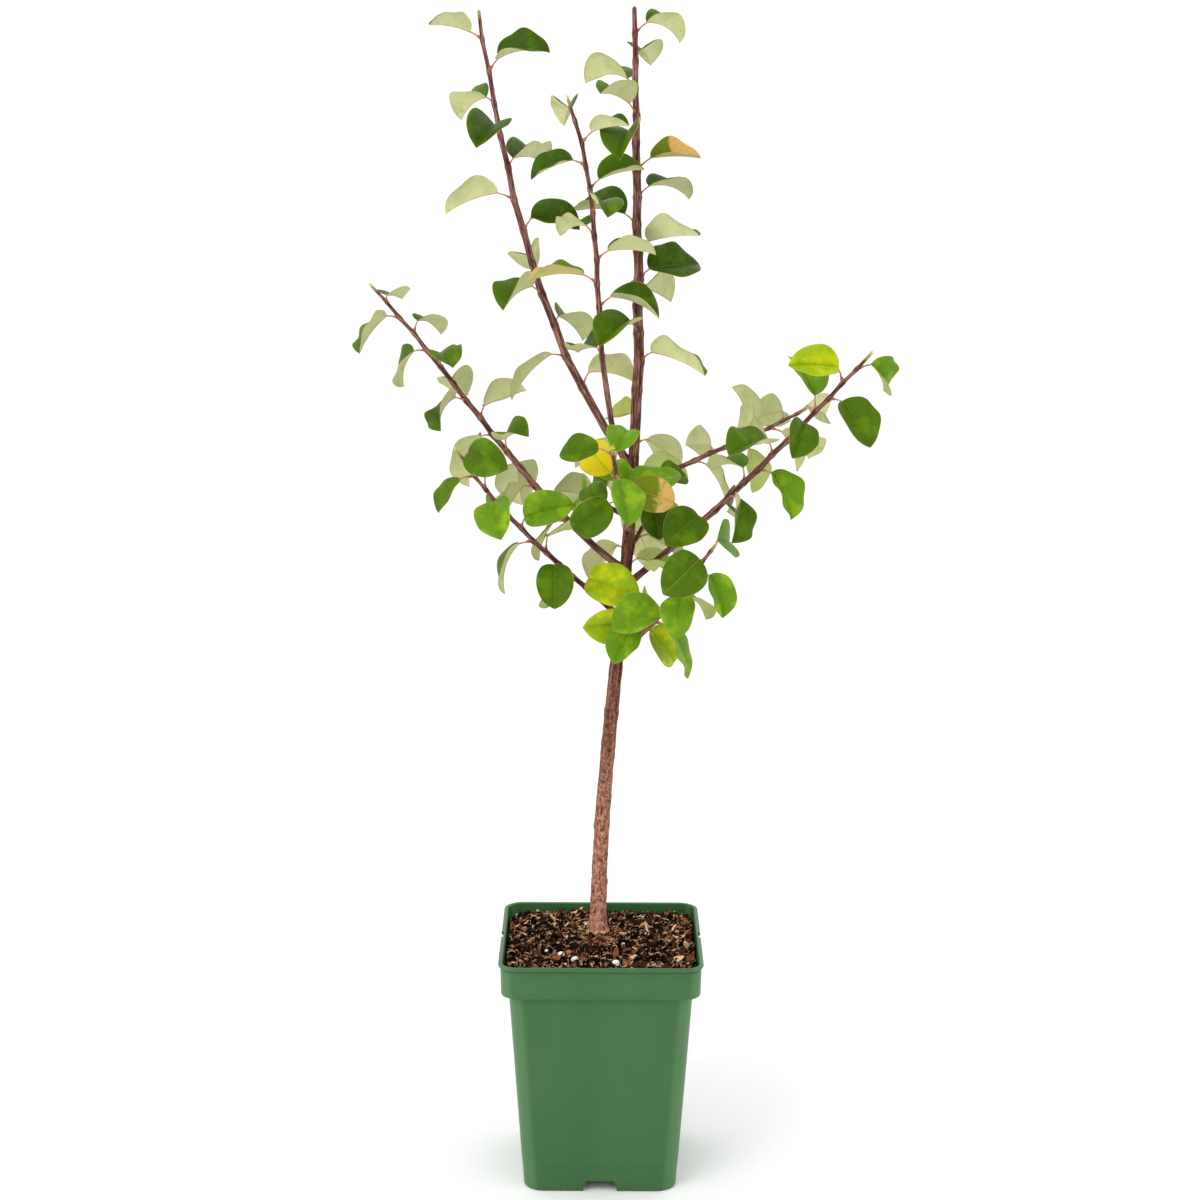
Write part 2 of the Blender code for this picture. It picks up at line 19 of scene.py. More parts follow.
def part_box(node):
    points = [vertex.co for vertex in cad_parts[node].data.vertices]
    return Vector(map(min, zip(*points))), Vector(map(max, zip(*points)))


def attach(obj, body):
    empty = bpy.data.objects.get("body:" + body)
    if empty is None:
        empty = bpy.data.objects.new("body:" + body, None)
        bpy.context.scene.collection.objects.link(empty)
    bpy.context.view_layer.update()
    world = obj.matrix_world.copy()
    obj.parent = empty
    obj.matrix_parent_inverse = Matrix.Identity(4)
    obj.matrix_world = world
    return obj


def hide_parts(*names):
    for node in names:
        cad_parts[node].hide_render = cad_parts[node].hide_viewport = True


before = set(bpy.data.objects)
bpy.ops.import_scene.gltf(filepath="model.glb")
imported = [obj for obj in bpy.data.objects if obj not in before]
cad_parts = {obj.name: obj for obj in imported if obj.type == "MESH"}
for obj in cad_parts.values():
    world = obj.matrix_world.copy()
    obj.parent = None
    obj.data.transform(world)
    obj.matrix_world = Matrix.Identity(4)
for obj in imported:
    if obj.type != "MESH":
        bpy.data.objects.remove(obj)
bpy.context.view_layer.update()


# ---- The studio ----
# A wide pale floor under an even white sky, with a large soft box high on the left of the camera. The
# camera stands two and a half metres away and looks a little down.

CAMERA_PLACE = Vector((-0.0027, -2.5194, 1.158))
CAMERA_PITCH = 11.87
CAMERA_ROLL = 0.26
CAMERA_LENS = 73.70
FLOOR_SIZE = 40.0
FLOOR_WHITE = (0.965, 0.965, 0.965)
SKY_STRENGTH = 1.12
SOFTBOX_PLACE = Vector((-1.6, -2.2, 2.6))
SOFTBOX_AIM = Vector((0, 0, 0.5))
SOFTBOX_SIZE = 1.5
SOFTBOX_WATTS = 34


class Field:
    """What a socket gives over a surface. Arithmetic on it adds Math nodes."""

    def __init__(self, finish, socket):
        self.finish = finish
        self.socket = socket

    def math(self, operation, first, second=None):
        values = {0: first} if second is None else {0: first, 1: second}
        return self.finish.node("Math", values, operation=operation)

    def __add__(self, other):
        return self.math("ADD", self, other)

    def __sub__(self, other):
        return self.math("SUBTRACT", self, other)

    def __rsub__(self, other):
        return self.math("SUBTRACT", other, self)

    def __mul__(self, other):
        return self.math("MULTIPLY", self, other)

    def __truediv__(self, other):
        return self.math("DIVIDE", self, other)

    def __abs__(self):
        return self.math("ABSOLUTE", self)

    def lesser(self, other):
        return self.math("MINIMUM", self, other)

    def greater(self, other):
        return self.math("MAXIMUM", self, other)

    def __gt__(self, other):
        return self.math("GREATER_THAN", self, other)

    __radd__ = __add__
    __rmul__ = __mul__

    def fraction(self):
        return self.math("FRACT", self)

    def between(self, low, high):
        """Rises smoothly from 0 at low to 1 at high; falls where low is the larger."""
        values = {"Value": self, "From Min": low, "From Max": high}
        return self.finish.node("MapRange", values, interpolation_type="SMOOTHSTEP")


class Finish:
    """A material as it is made up: one glossy shader and the nodes that vary it."""

    def __init__(self, name, roughness=0.5, specular=0.5):
        self.material = bpy.data.materials.new(name)
        self.material.use_nodes = True
        self.shader = self.material.node_tree.nodes["Principled BSDF"]
        self.shader.inputs["Roughness"].default_value = roughness
        self.shader.inputs["Specular IOR Level"].default_value = specular

    def feed(self, socket, value):
        if isinstance(value, Field):
            self.material.node_tree.links.new(value.socket, socket)
        elif isinstance(value, tuple) and len(value) == 3 and socket.type == "RGBA":
            socket.default_value = (*value, 1)
        else:
            socket.default_value = value

    def node(self, kind, values=None, output=0, stops=None, **settings):
        """A node of any type: its settings, then the values or links of its sockets."""
        node = self.material.node_tree.nodes.new(f"ShaderNode{kind}")
        for setting, value in settings.items():
            setattr(node, setting, value)
        if stops:
            ramp = node.color_ramp.elements
            while len(ramp) < len(stops):
                ramp.new(1)
            for stop, (position, colour) in zip(ramp, stops):
                stop.position = position
                stop.color = (*colour, 1)
        for socket, value in (values or {}).items():
            self.feed(node.inputs[socket], value)
        return Field(self, node.outputs[output])

    def place(self, scale=(1, 1, 1), turn=(0, 0, 0)):
        """The point on the piece, stretched or turned."""
        here = self.node("TexCoord", output="Object")
        return self.node("Mapping", {"Vector": here, "Scale": scale, "Rotation": turn})

    def attribute(self, name, output="Vector"):
        return self.node("Attribute", output=output, attribute_name=name)

    def noise(self, place, scale, detail=3.0, roughness=0.5, distortion=0.0):
        values = {"Vector": place, "Scale": scale, "Detail": detail}
        return self.node("TexNoise", {**values, "Roughness": roughness, "Distortion": distortion})

    def mix(self, share, first, second, blend_type="MIX"):
        values = {0: share, 6: first, 7: second}
        return self.node("Mix", values, output=2, data_type="RGBA", blend_type=blend_type)

    def ramp(self, value, *stops):
        return self.node("ValToRGB", {"Fac": value}, stops=stops)

    def colour(self, value):
        self.feed(self.shader.inputs["Base Color"], value)

    def gloss(self, value):
        self.feed(self.shader.inputs["Roughness"], value)

    def bumps(self, height, depth):
        """Relief too fine for the mesh: a height of 1 stands this deep."""
        bump = self.node("Bump", {"Height": height, "Strength": 1.0, "Distance": depth})
        self.feed(self.shader.inputs["Normal"], bump)


def paint(thing, *finishes):
    thing.data.materials.clear()
    for finish in finishes:
        thing.data.materials.append(finish.material)


bpy.ops.object.camera_add(location=CAMERA_PLACE)
camera = bpy.context.object
camera.data.lens = CAMERA_LENS
camera.data.clip_end = 200
level_view = Matrix.Rotation(math.radians(90 - CAMERA_PITCH), 3, "X")
camera.rotation_euler = (level_view @ Matrix.Rotation(math.radians(CAMERA_ROLL), 3, "Z")).to_euler()
bpy.context.scene.camera = camera
bpy.context.scene.view_settings.view_transform = "Standard"

bpy.ops.mesh.primitive_plane_add(size=FLOOR_SIZE)
floor = bpy.context.object
floor.name = "floor"
floor_finish = Finish("pale_floor", roughness=0.9)
floor_finish.colour(FLOOR_WHITE)
paint(floor, floor_finish)

world = bpy.data.worlds.new("white_sky")
world.use_nodes = True
world.node_tree.nodes["Background"].inputs["Color"].default_value = (1, 1, 1, 1)
world.node_tree.nodes["Background"].inputs["Strength"].default_value = SKY_STRENGTH
bpy.context.scene.world = world
bpy.ops.object.light_add(type="AREA", location=SOFTBOX_PLACE)
softbox = bpy.context.object
softbox.name = "softbox"
softbox.data.size = SOFTBOX_SIZE
softbox.data.energy = SOFTBOX_WATTS
softbox.rotation_euler = (SOFTBOX_AIM - SOFTBOX_PLACE).to_track_quat("-Z", "Y").to_euler()


# ---- The pot ----
# A square nursery pot, injection moulded in green polypropylene: a tapered body on a notched foot, a
# wider band round its top and a thin rolled lip. Its skin is satin, with a faint flow mottle, and a
# painted highlight runs down each round corner, where the skin is also a little duller.

POT_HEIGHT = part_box("pot")[1].z
LIP_WIDTH = 0.2150
LIP_HEIGHT = 0.0040
LIP_RADIUS = 0.0205
LIP_WALL = 0.0046
LIP_STEPS = 5
LIP_GROOVE = 0.0010
BAND_TOP_WIDTH = 0.2104
BAND_FOOT_WIDTH = 0.2092
BAND_DEPTH = 0.0350
BAND_RADIUS = 0.0190
BAND_EDGE = 0.0012
BODY_TOP_WIDTH = 0.1940
BODY_FOOT_WIDTH = 0.1632
BODY_RADIUS = 0.0220
FOOT_BEVEL = 0.0020
FOOT_STEP_HEIGHT = 0.0295  # a faint line where the mould's foot ring begins
FOOT_STEP = 0.0003
POT_WALL = 0.0018
POT_CORNER_STEPS = 9
NOTCH_HEIGHT = 0.0122
NOTCH_TOP_WIDTH = 0.0300
NOTCH_FOOT_WIDTH = 0.0380
NOTCH_REACH = 0.0340
LIP_SLOT = (0.0052, 0.0160, 0.0070)
LIP_SLOT_RISE = 0.0030
ROUNDING_TURNS = (0, 30, 60, 90)
SHOULDER_COVE = (0.0003, 0.0008, 0.0025)  # how much in, how much out and how high it is
LIP_EASE = (0.0016, 0.0010)
POT_GREEN = (0.027, 0.108, 0.025)
POT_GREEN_PALE = (0.034, 0.124, 0.032)
# the colour of the painted highlight down the round corners
POT_CORNER_HIGHLIGHT = (0.060, 0.168, 0.056)
POT_ROUGHNESS = 0.30


def body_width(height):
    shoulder = POT_HEIGHT - BAND_DEPTH
    return BODY_FOOT_WIDTH + (BODY_TOP_WIDTH - BODY_FOOT_WIDTH) * height / shoulder


def pot_profile():
    """Rounded squares from the underside up the outside, over the lip and down the inside."""
    shoulder = POT_HEIGHT - BAND_DEPTH
    band_top = POT_HEIGHT - LIP_HEIGHT
    cove_in, cove_out, cove_height = SHOULDER_COVE
    ease_width, ease_height = LIP_EASE
    rings = []
    for turn in ROUNDING_TURNS:
        inset = FOOT_BEVEL * (1 - math.sin(math.radians(turn)))
        rise = FOOT_BEVEL * (1 - math.cos(math.radians(turn)))
        rings.append((BODY_FOOT_WIDTH - 2 * inset, BODY_RADIUS - inset, rise))
    rings += [
        (body_width(FOOT_STEP_HEIGHT) - FOOT_STEP, BODY_RADIUS, FOOT_STEP_HEIGHT),
        (body_width(FOOT_STEP_HEIGHT) + FOOT_STEP, BODY_RADIUS, FOOT_STEP_HEIGHT + FOOT_STEP),
        (BODY_TOP_WIDTH - cove_in, BODY_RADIUS, shoulder - cove_height),
        (BODY_TOP_WIDTH + cove_out, BODY_RADIUS, shoulder),
    ]
    for turn in ROUNDING_TURNS:
        inset = BAND_EDGE * (1 - math.sin(math.radians(turn)))
        rise = BAND_EDGE * (1 - math.cos(math.radians(turn)))
        rings.append((BAND_FOOT_WIDTH - 2 * inset, BAND_RADIUS - inset, shoulder + rise))
    rings += [
        (BAND_TOP_WIDTH, BAND_RADIUS, band_top - 2 * LIP_GROOVE),
        (BAND_TOP_WIDTH - LIP_GROOVE, BAND_RADIUS, band_top - LIP_GROOVE),
    ]
    for step in range(LIP_STEPS + 1):
        turn = math.pi * step / LIP_STEPS
        width = LIP_WIDTH - LIP_HEIGHT * (1 - math.sin(turn)) * 0.5
        rings.append((width, LIP_RADIUS, band_top + LIP_HEIGHT * (1 - math.cos(turn)) / 2))
    inner = LIP_WIDTH - 2 * LIP_WALL
    rings += [
        (inner + ease_width, LIP_RADIUS - LIP_WALL, POT_HEIGHT),
        (inner, LIP_RADIUS - LIP_WALL, POT_HEIGHT - ease_height),
        (BAND_FOOT_WIDTH - 4 * POT_WALL, BAND_RADIUS - POT_WALL, shoulder + 4 * POT_WALL),
        (body_width(shoulder) - 2 * POT_WALL, BODY_RADIUS - POT_WALL, shoulder),
        (body_width(0) - 2 * POT_WALL, BODY_RADIUS - POT_WALL, 2 * POT_WALL),
    ]
    return rings


def loft_squares(name, rings):
    """A closed skin through rounded squares, each a width, a corner radius and a height."""
    bpy.ops.object.select_all(action="DESELECT")
    width, radius, height = rings[0]
    bpy.ops.mesh.primitive_plane_add(size=width, location=(0, 0, height))
    thing = bpy.context.object
    thing.name = name
    bpy.ops.object.transform_apply(location=True)
    bpy.ops.object.mode_set(mode="EDIT")
    bpy.ops.mesh.bevel(affect="VERTICES", offset=radius, segments=POT_CORNER_STEPS)
    for wide, round_by, rise in rings[1:]:
        bpy.ops.mesh.extrude_region_move()
        shape = bmesh.from_edit_mesh(thing.data)
        for vertex in (vertex for vertex in shape.verts if vertex.select):
            x, y, _ = vertex.co
            was = Vector((math.copysign(width / 2 - radius, x), math.copysign(width / 2 - radius, y)))
            now = Vector((math.copysign(wide / 2 - round_by, x), math.copysign(wide / 2 - round_by, y)))
            vertex.co = ((Vector((x, y)) - was) * round_by / radius + now).to_3d() + Vector((0, 0, rise))
        bmesh.update_edit_mesh(thing.data)
        width, radius = wide, round_by
    bpy.ops.mesh.select_all(action="SELECT")
    bpy.ops.mesh.normals_make_consistent(inside=False)
    bpy.ops.object.mode_set(mode="OBJECT")
    return thing


def notch_blocks(name, reach, bottom, grow):
    """The space of the four drain notches: tapered blocks from inside the foot out to a reach."""
    inner = BODY_FOOT_WIDTH / 2 - NOTCH_REACH - grow
    size = (reach - inner, NOTCH_FOOT_WIDTH + 2 * grow, NOTCH_HEIGHT + grow - bottom)
    middle = ((reach + inner) / 2, 0, bottom + size[2] / 2)
    blocks = []
    for side in range(4):
        bpy.ops.mesh.primitive_cube_add(size=1, location=middle, scale=size)
        block = bpy.context.object
        bpy.ops.object.transform_apply(location=True, scale=True)
        for vertex in block.data.vertices:
            if vertex.co.z > middle[2]:
                vertex.co.y = math.copysign(NOTCH_TOP_WIDTH / 2 + grow, vertex.co.y)
        block.data.transform(Matrix.Rotation(math.radians(90 * side), 4, "Z"))
        blocks.append(block)
    return joined(name, blocks)


def joined(name, things):
    """Several objects made one."""
    bpy.ops.object.select_all(action="DESELECT")
    for thing in things:
        thing.select_set(True)
    bpy.context.view_layer.objects.active = things[0]
    bpy.ops.object.join()
    things[0].name = name
    return things[0]


def carve(thing, tool, operation):
    """Applies a Boolean with a tool, which is then thrown away."""
    boolean = thing.modifiers.new(operation, "BOOLEAN")
    boolean.operation = operation
    boolean.object = tool
    boolean.solver = "EXACT"
    bpy.context.view_layer.objects.active = thing
    bpy.ops.object.modifier_apply(modifier=boolean.name)
    bpy.data.objects.remove(tool)


def smooth_below(thing, angle):
    """Shades smooth, keeping edges sharper than the angle."""
    bpy.ops.object.select_all(action="DESELECT")
    thing.select_set(True)
    bpy.context.view_layer.objects.active = thing
    bpy.ops.object.shade_smooth_by_angle(angle=math.radians(angle))


pot = loft_squares("nursery_pot", pot_profile())
wall_reach = BODY_FOOT_WIDTH / 2 - POT_WALL / 3
carve(pot, notch_blocks("notch_walls", wall_reach, POT_WALL / 2, POT_WALL), "UNION")
carve(pot, notch_blocks("notches", BODY_TOP_WIDTH / 2, -POT_WALL, 0), "DIFFERENCE")
for side in (-1, 1):
    slot_place = (side * LIP_WIDTH / 2, 0, POT_HEIGHT - LIP_HEIGHT + LIP_SLOT_RISE)
    bpy.ops.mesh.primitive_cube_add(size=1, location=slot_place, scale=LIP_SLOT)
    carve(pot, bpy.context.object, "DIFFERENCE")
smooth_below(pot, 32)

pot_finish = Finish("green_polypropylene", roughness=POT_ROUGHNESS, specular=0.4)
skin_place = pot_finish.place()
flow = pot_finish.noise(pot_finish.place(scale=(1, 1, 0.35)), 14, detail=4, roughness=0.6)
grain = pot_finish.noise(skin_place, 900, detail=2)
scuffs = pot_finish.noise(pot_finish.place(scale=(1, 1, 5)), 60, detail=5, roughness=0.7)
green = pot_finish.mix(flow.between(0.30, 0.72), POT_GREEN, POT_GREEN_PALE)
across, along, up = (
    pot_finish.node("SeparateXYZ", {"Vector": skin_place}, output=axis) for axis in range(3)
)
shoulder_share = up * (1 / (POT_HEIGHT - BAND_DEPTH))
on_band = shoulder_share > 1.0
flat_half = shoulder_share * (BODY_TOP_WIDTH - BODY_FOOT_WIDTH) / 2 + (BODY_FOOT_WIDTH / 2 - BODY_RADIUS)
flat_half = flat_half + on_band * ((BAND_FOOT_WIDTH - BODY_TOP_WIDTH) / 2 + BODY_RADIUS - BAND_RADIUS)
into_corner = abs(across).lesser(abs(along)) - flat_half
# Painted highlight: a paler band a little way in from each round corner's edge, a little rougher there as
# well.
corner_highlight = into_corner.between(0.0045, 0.0115)
pot_finish.colour(pot_finish.mix(corner_highlight * (flow * 0.5 + 0.55), green, POT_CORNER_HIGHLIGHT))
pot_finish.gloss(POT_ROUGHNESS + flow * 0.08 + scuffs.between(0.55, 0.75) * 0.10 + corner_highlight * 0.10)
pot_finish.bumps(grain * 0.5 + flow * 0.5, 0.00012)
paint(pot, pot_finish)
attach(pot, "root")
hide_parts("pot")


# ---- The potting mix ----
# Composted bark, dark and coarse, mounded a little round the trunk; the bed and many small crumbs are
# near black, painted shade for the gaps between chips. Curled flakes and shreds lie loose on it, their
# torn rims pale as torn bark is and paler still as a painted glint, with a few white grains of perlite
# and, at the trunk, fine roots.

MIX_LEVEL = POT_HEIGHT - 0.0120
MIX_TOP = POT_HEIGHT - 0.0013
MIX_FOOT = 0.018  # clear above the pot's notches
MIX_GAP = 0.0004
MIX_ROUNDING = 0.0165
MIX_WELD = 0.0002  # the grid's corners fold onto the rounding
MIX_LUMP = 0.0034
LUMP_SCALE = 55
PEBBLE_SCALE = 190
CALM_REACH = 0.010  # no lumps this near the trunk's middle
CALM_EDGE = 0.020
MOUND = ((0.000, 1.00), (0.018, 1.00), (0.0288, 0.80), (0.060, 0.25), (0.105, 0.0))
BED_CUTS = 90
CRUMBS = 900
FLAKES = 620
SCRAPS = 620
SHREDS = 190
SPLINTERS = 120
ROOT_HAIRS = 240
ROOT_PATCH = (0.011, 0.034)  # how near the trunk and how far from it they lie
CRUMB_SIZES = (0.0014, 0.0046)
# Mostly the near-black tint: small crumbs stand in as painted shade in the gaps between chips.
CRUMB_TINTS = (9, 6, 2, 1, 0.7)
CRUMB_CLEAR = 0.013  # how far from the trunk's middle they stay
CHIP_CLEAR = 0.016
CHIP_CUPS = (-1.2, 1.2)
CHIP_MARGIN = 0.003  # how far inside the wall a chip's middle stays
WALL_MARGIN = 0.0006  # and its corners
FULL_TURN = 6.3
HAIR_LENGTHS = (0.005, 0.014)
HAIR_WIDTH = 0.0005
HAIR_THICKNESS = 0.0004
HAIR_CURLS = (0.4, 2.4)
HAIR_STANDS = (0.0010, 0.0026)
HAIR_WAY = (-1.57, 0.9)  # most lie before the trunk
HAIR_SWING = 0.8
GRAIN_BREADTHS = (0.7, 0.95)
GRAIN_SWELL = 0.22
# Each grain's place on the mix and its size across.
PERLITE = (
    (-0.0420, -0.0480, 0.0084),
    (-0.0280, -0.0580, 0.0088),
    (0.0160, -0.0680, 0.0086),
    (0.0720, 0.0680, 0.0066),
    (-0.0580, -0.0320, 0.0046),
    (0.0500, 0.0160, 0.0050),
    (0.0880, 0.0580, 0.0048),
    (0.0920, -0.0060, 0.0040),
    (0.0240, -0.0180, 0.0038),
    (-0.0160, 0.0260, 0.0036),
    (-0.0200, 0.0740, 0.0040),
    (0.0460, 0.0800, 0.0034),
)
BARK_TINTS = {
    # Near black, darker than bark itself: painted shade for the gaps between the chips, also on many chips.
    "gap_shade_black_bark": (0.0020, 0.0009, 0.0006),
    "dark_bark": (0.013, 0.0044, 0.0020),
    "brown_bark": (0.056, 0.0175, 0.0066),
    "russet_bark": (0.220, 0.078, 0.030),
    "tan_bark": (0.800, 0.470, 0.260),
}
# the torn rim's colour: the bark's own pale fibre, brightened into a painted glint
TORN_RIM_AND_GLINT = (0.720, 0.400, 0.210)
ROOT_TAN = 4
PERLITE_RISE = 0.0030
PERLITE_SHADE = (0.62, 0.56, 0.48)
PERLITE_WHITE = (0.92, 0.91, 0.88)

trunk_foot = Vector((-0.0030, 0.0180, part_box("trunk")[0].z))
mix_width = BAND_FOOT_WIDTH - 4 * POT_WALL - 2 * MIX_GAP


def mix_height(x, y):
    """The bed's height: level at the wall, mounded at the trunk, lumpy all over."""
    away = math.hypot(x - trunk_foot.x, y - trunk_foot.y)
    rise = float(np.interp(away, *zip(*MOUND)))
    spot = Vector((x, y, 0))
    lumps = noise.fractal(spot * LUMP_SCALE, 1.0, 2.0, 3) + 0.5 * noise.noise(spot * PEBBLE_SCALE)
    calm = min(1.0, max(0.0, (away - CALM_REACH) / CALM_EDGE))
    return MIX_LEVEL + rise * (MIX_TOP - MIX_LEVEL) + MIX_LUMP * calm * (lumps * 0.6 - 0.35)


def within_square(x, y, half, round_by):
    """The nearest point inside a rounded square."""
    inner = half - round_by
    off = Vector((max(abs(x) - inner, 0.0), max(abs(y) - inner, 0.0)))
    if off.length > round_by:
        off *= round_by / off.length
    return (
        math.copysign(min(abs(x), inner) + off.x, x),
        math.copysign(min(abs(y), inner) + off.y, y),
    )


bpy.ops.object.select_all(action="DESELECT")
bpy.ops.mesh.primitive_grid_add(
    x_subdivisions=BED_CUTS, y_subdivisions=BED_CUTS, size=mix_width, location=(0, 0, MIX_LEVEL)
)
bed = bpy.context.object
bed.name = "mix_bed"
bpy.ops.object.transform_apply(location=True)
for vertex in bed.data.vertices:
    x, y = within_square(vertex.co.x, vertex.co.y, mix_width / 2, MIX_ROUNDING)
    vertex.co = (x, y, mix_height(x, y))
bpy.ops.object.mode_set(mode="EDIT")
bpy.ops.mesh.select_all(action="SELECT")
bpy.ops.mesh.remove_doubles(threshold=MIX_WELD)
bpy.ops.mesh.select_all(action="SELECT")
bpy.ops.mesh.region_to_loop()
bpy.ops.mesh.extrude_edges_move()
shoulder_height = POT_HEIGHT - BAND_DEPTH
shape = bmesh.from_edit_mesh(bed.data)
for vertex in (vertex for vertex in shape.verts if vertex.select):
    vertex.co.z = shoulder_height + 5 * POT_WALL
bmesh.update_edit_mesh(bed.data)
for height in (shoulder_height, MIX_FOOT):
    bpy.ops.mesh.extrude_edges_move()
    half = body_width(height) / 2 - POT_WALL - MIX_GAP
    shape = bmesh.from_edit_mesh(bed.data)
    for vertex in (vertex for vertex in shape.verts if vertex.select):
        x, y = within_square(vertex.co.x, vertex.co.y, half, BODY_RADIUS - POT_WALL)
        vertex.co = (x, y, height)
    bmesh.update_edit_mesh(bed.data)
bpy.ops.mesh.edge_face_add()
bpy.ops.mesh.select_all(action="SELECT")
bpy.ops.mesh.normals_make_consistent(inside=False)
bpy.ops.object.mode_set(mode="OBJECT")
smooth_below(bed, 60)


def bark_finish(name, tint):
    """Bark in the mix: a tint with darker and lighter fibres and a torn pale rim brightened into a painted
    glint, rough and damp.
    """
    finish = Finish(name, roughness=0.85, specular=0.08)
    fibres = finish.noise(finish.place(scale=(1, 1.8, 2.6)), 420, detail=4, roughness=0.65)
    blotches = finish.noise(finish.place(), 150, detail=2)
    grit = finish.noise(finish.place(), 1400, detail=2)
    deep = tuple(0.40 * part for part in tint)
    pale = tuple(min(1.0, 1.70 * part + 0.004) for part in tint)
    body = finish.ramp(fibres, (0.30, deep), (0.52, tint), (0.74, pale))
    # The torn rim, pale as torn bark is and paler still as a painted glint along the chips' edges.
    torn_rim_and_glint = finish.attribute("rim", output="Fac").between(0.72, 1.0) * blotches.between(0.50, 0.62)
    finish.colour(finish.mix(torn_rim_and_glint, body, TORN_RIM_AND_GLINT))
    finish.gloss(0.92 - fibres.between(0.4, 0.7) * 0.30)
    finish.bumps(fibres * 0.7 + grit * 0.3, 0.0006)
    return finish


bark_finishes = [bark_finish(name, tint) for name, tint in BARK_TINTS.items()]
# The bed takes the near-black tint: painted shade showing through the gaps between the chips.
paint(bed, bark_finishes[0])
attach(bed, "root")
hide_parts("potting_mix")


class ChipKind(NamedTuple):
    """A kind of chip. Pairs are the least and the most; widths are shares of the length."""

    count: int
    lengths: tuple
    widths: tuple
    thicknesses: tuple
    curls: tuple
    stands: tuple  # how far its middle lies above the bed
    tilt: float
    tints: tuple  # how many of each tint
    columns: tuple  # where it is divided across


PLATE_ROWS = 5
PLATE_EDGES = (-1, 0, 1)
PLATE_FINE = (-1, -0.5, 0, 0.5, 1)
flake_sizes = ((0.0085, 0.0205), (0.34, 0.70), (0.0007, 0.0018), (0.3, 1.9), (0.0004, 0.0042))
scrap_sizes = ((0.0032, 0.0080), (0.40, 0.90), (0.0005, 0.0012), (0.2, 1.8), (0.0008, 0.0040))
shred_sizes = ((0.0120, 0.0260), (0.10, 0.20), (0.0006, 0.0012), (0.6, 2.8), (0.0020, 0.0046))
splinter_sizes = ((0.0060, 0.0150), (0.05, 0.10), (0.0004, 0.0006), (0.2, 1.0), (0.0020, 0.0038))
CHIP_KINDS = (
    ChipKind(FLAKES, *flake_sizes, 0.44, (8, 6, 4, 3.0, 0.9), PLATE_FINE),
    ChipKind(SCRAPS, *scrap_sizes, 0.55, (9, 6, 3, 1.6, 1.2), PLATE_EDGES),
    ChipKind(SHREDS, *shred_sizes, 0.30, (4, 5, 4, 3.0, 1.6), PLATE_EDGES),
    ChipKind(SPLINTERS, *splinter_sizes, 0.25, (2, 3, 3, 3.0, 3.0), PLATE_EDGES),
)


class Heap:
    """Many small shapes gathered into one mesh."""

    def __init__(self):
        self.points = []
        self.faces = []
        self.slots = []
        self.count = 0

    def add(self, points, faces, slot=0):
        self.points.append(np.asarray(points, float))
        self.faces += [tuple(corner + self.count for corner in face) for face in faces]
        self.slots += [slot] * len(faces) if isinstance(slot, int) else slot
        self.count += len(points)

    def piece(self, name, *finishes, **attributes):
        """The heap as an object, with its finishes and its values at each point."""
        mesh = bpy.data.meshes.new(name)
        mesh.from_pydata(np.concatenate(self.points).tolist(), [], self.faces)
        for attribute, rows in attributes.items():
            values = np.concatenate(rows)
            kind, field = ("FLOAT", "value") if values.ndim == 1 else ("FLOAT_VECTOR", "vector")
            mesh.attributes.new(attribute, kind, "POINT").data.foreach_set(field, values.ravel())
        thing = bpy.data.objects.new(name, mesh)
        bpy.context.scene.collection.objects.link(thing)
        paint(thing, *finishes)
        mesh.polygons.foreach_set("material_index", self.slots)
        return thing


def unit_shape(add, **sizes):
    """A small primitive's points and faces, for copying."""
    bpy.ops.object.select_all(action="DESELECT")
    add(**sizes)
    thing = bpy.context.object
    points = np.array([vertex.co for vertex in thing.data.vertices])
    faces = [tuple(face.vertices) for face in thing.data.polygons]
    bpy.data.objects.remove(thing)
    return points, faces


chance = random.Random(41)
crumb_points, crumb_faces = unit_shape(bpy.ops.mesh.primitive_ico_sphere_add, subdivisions=1, radius=0.5)
grain_points, grain_faces = unit_shape(bpy.ops.mesh.primitive_ico_sphere_add, subdivisions=3, radius=0.5)


def roughened(points, amount):
    """The points, each moved a little at random."""
    return points + np.array([[chance.uniform(-amount, amount) for _ in range(3)] for _ in points])


def laid(points, x, y, sink, tilt, spin):
    """The points set down on the bed, tilted and spun, with their middle a little above or below it."""
    turn = Euler((chance.gauss(0, tilt), chance.gauss(0, tilt), spin)).to_matrix()
    x, y = within_square(x, y, mix_width / 2 - CHIP_MARGIN, MIX_ROUNDING)
    place = np.array((x, y, mix_height(x, y) + sink))
    moved = points @ np.array(turn).T + place
    low_reach = np.abs(moved[:, :2]).max() - (mix_width / 2 - WALL_MARGIN)
    if low_reach > 0:
        moved[:, :2] *= 1 - low_reach / np.abs(moved[:, :2]).max()
    return moved


def any_place(clear):
    """A place on the bed, away from the trunk."""
    while True:
        x = chance.uniform(-mix_width / 2, mix_width / 2)
        y = chance.uniform(-mix_width / 2, mix_width / 2)
        if math.hypot(x - trunk_foot.x, y - trunk_foot.y) > clear:
            return x, y


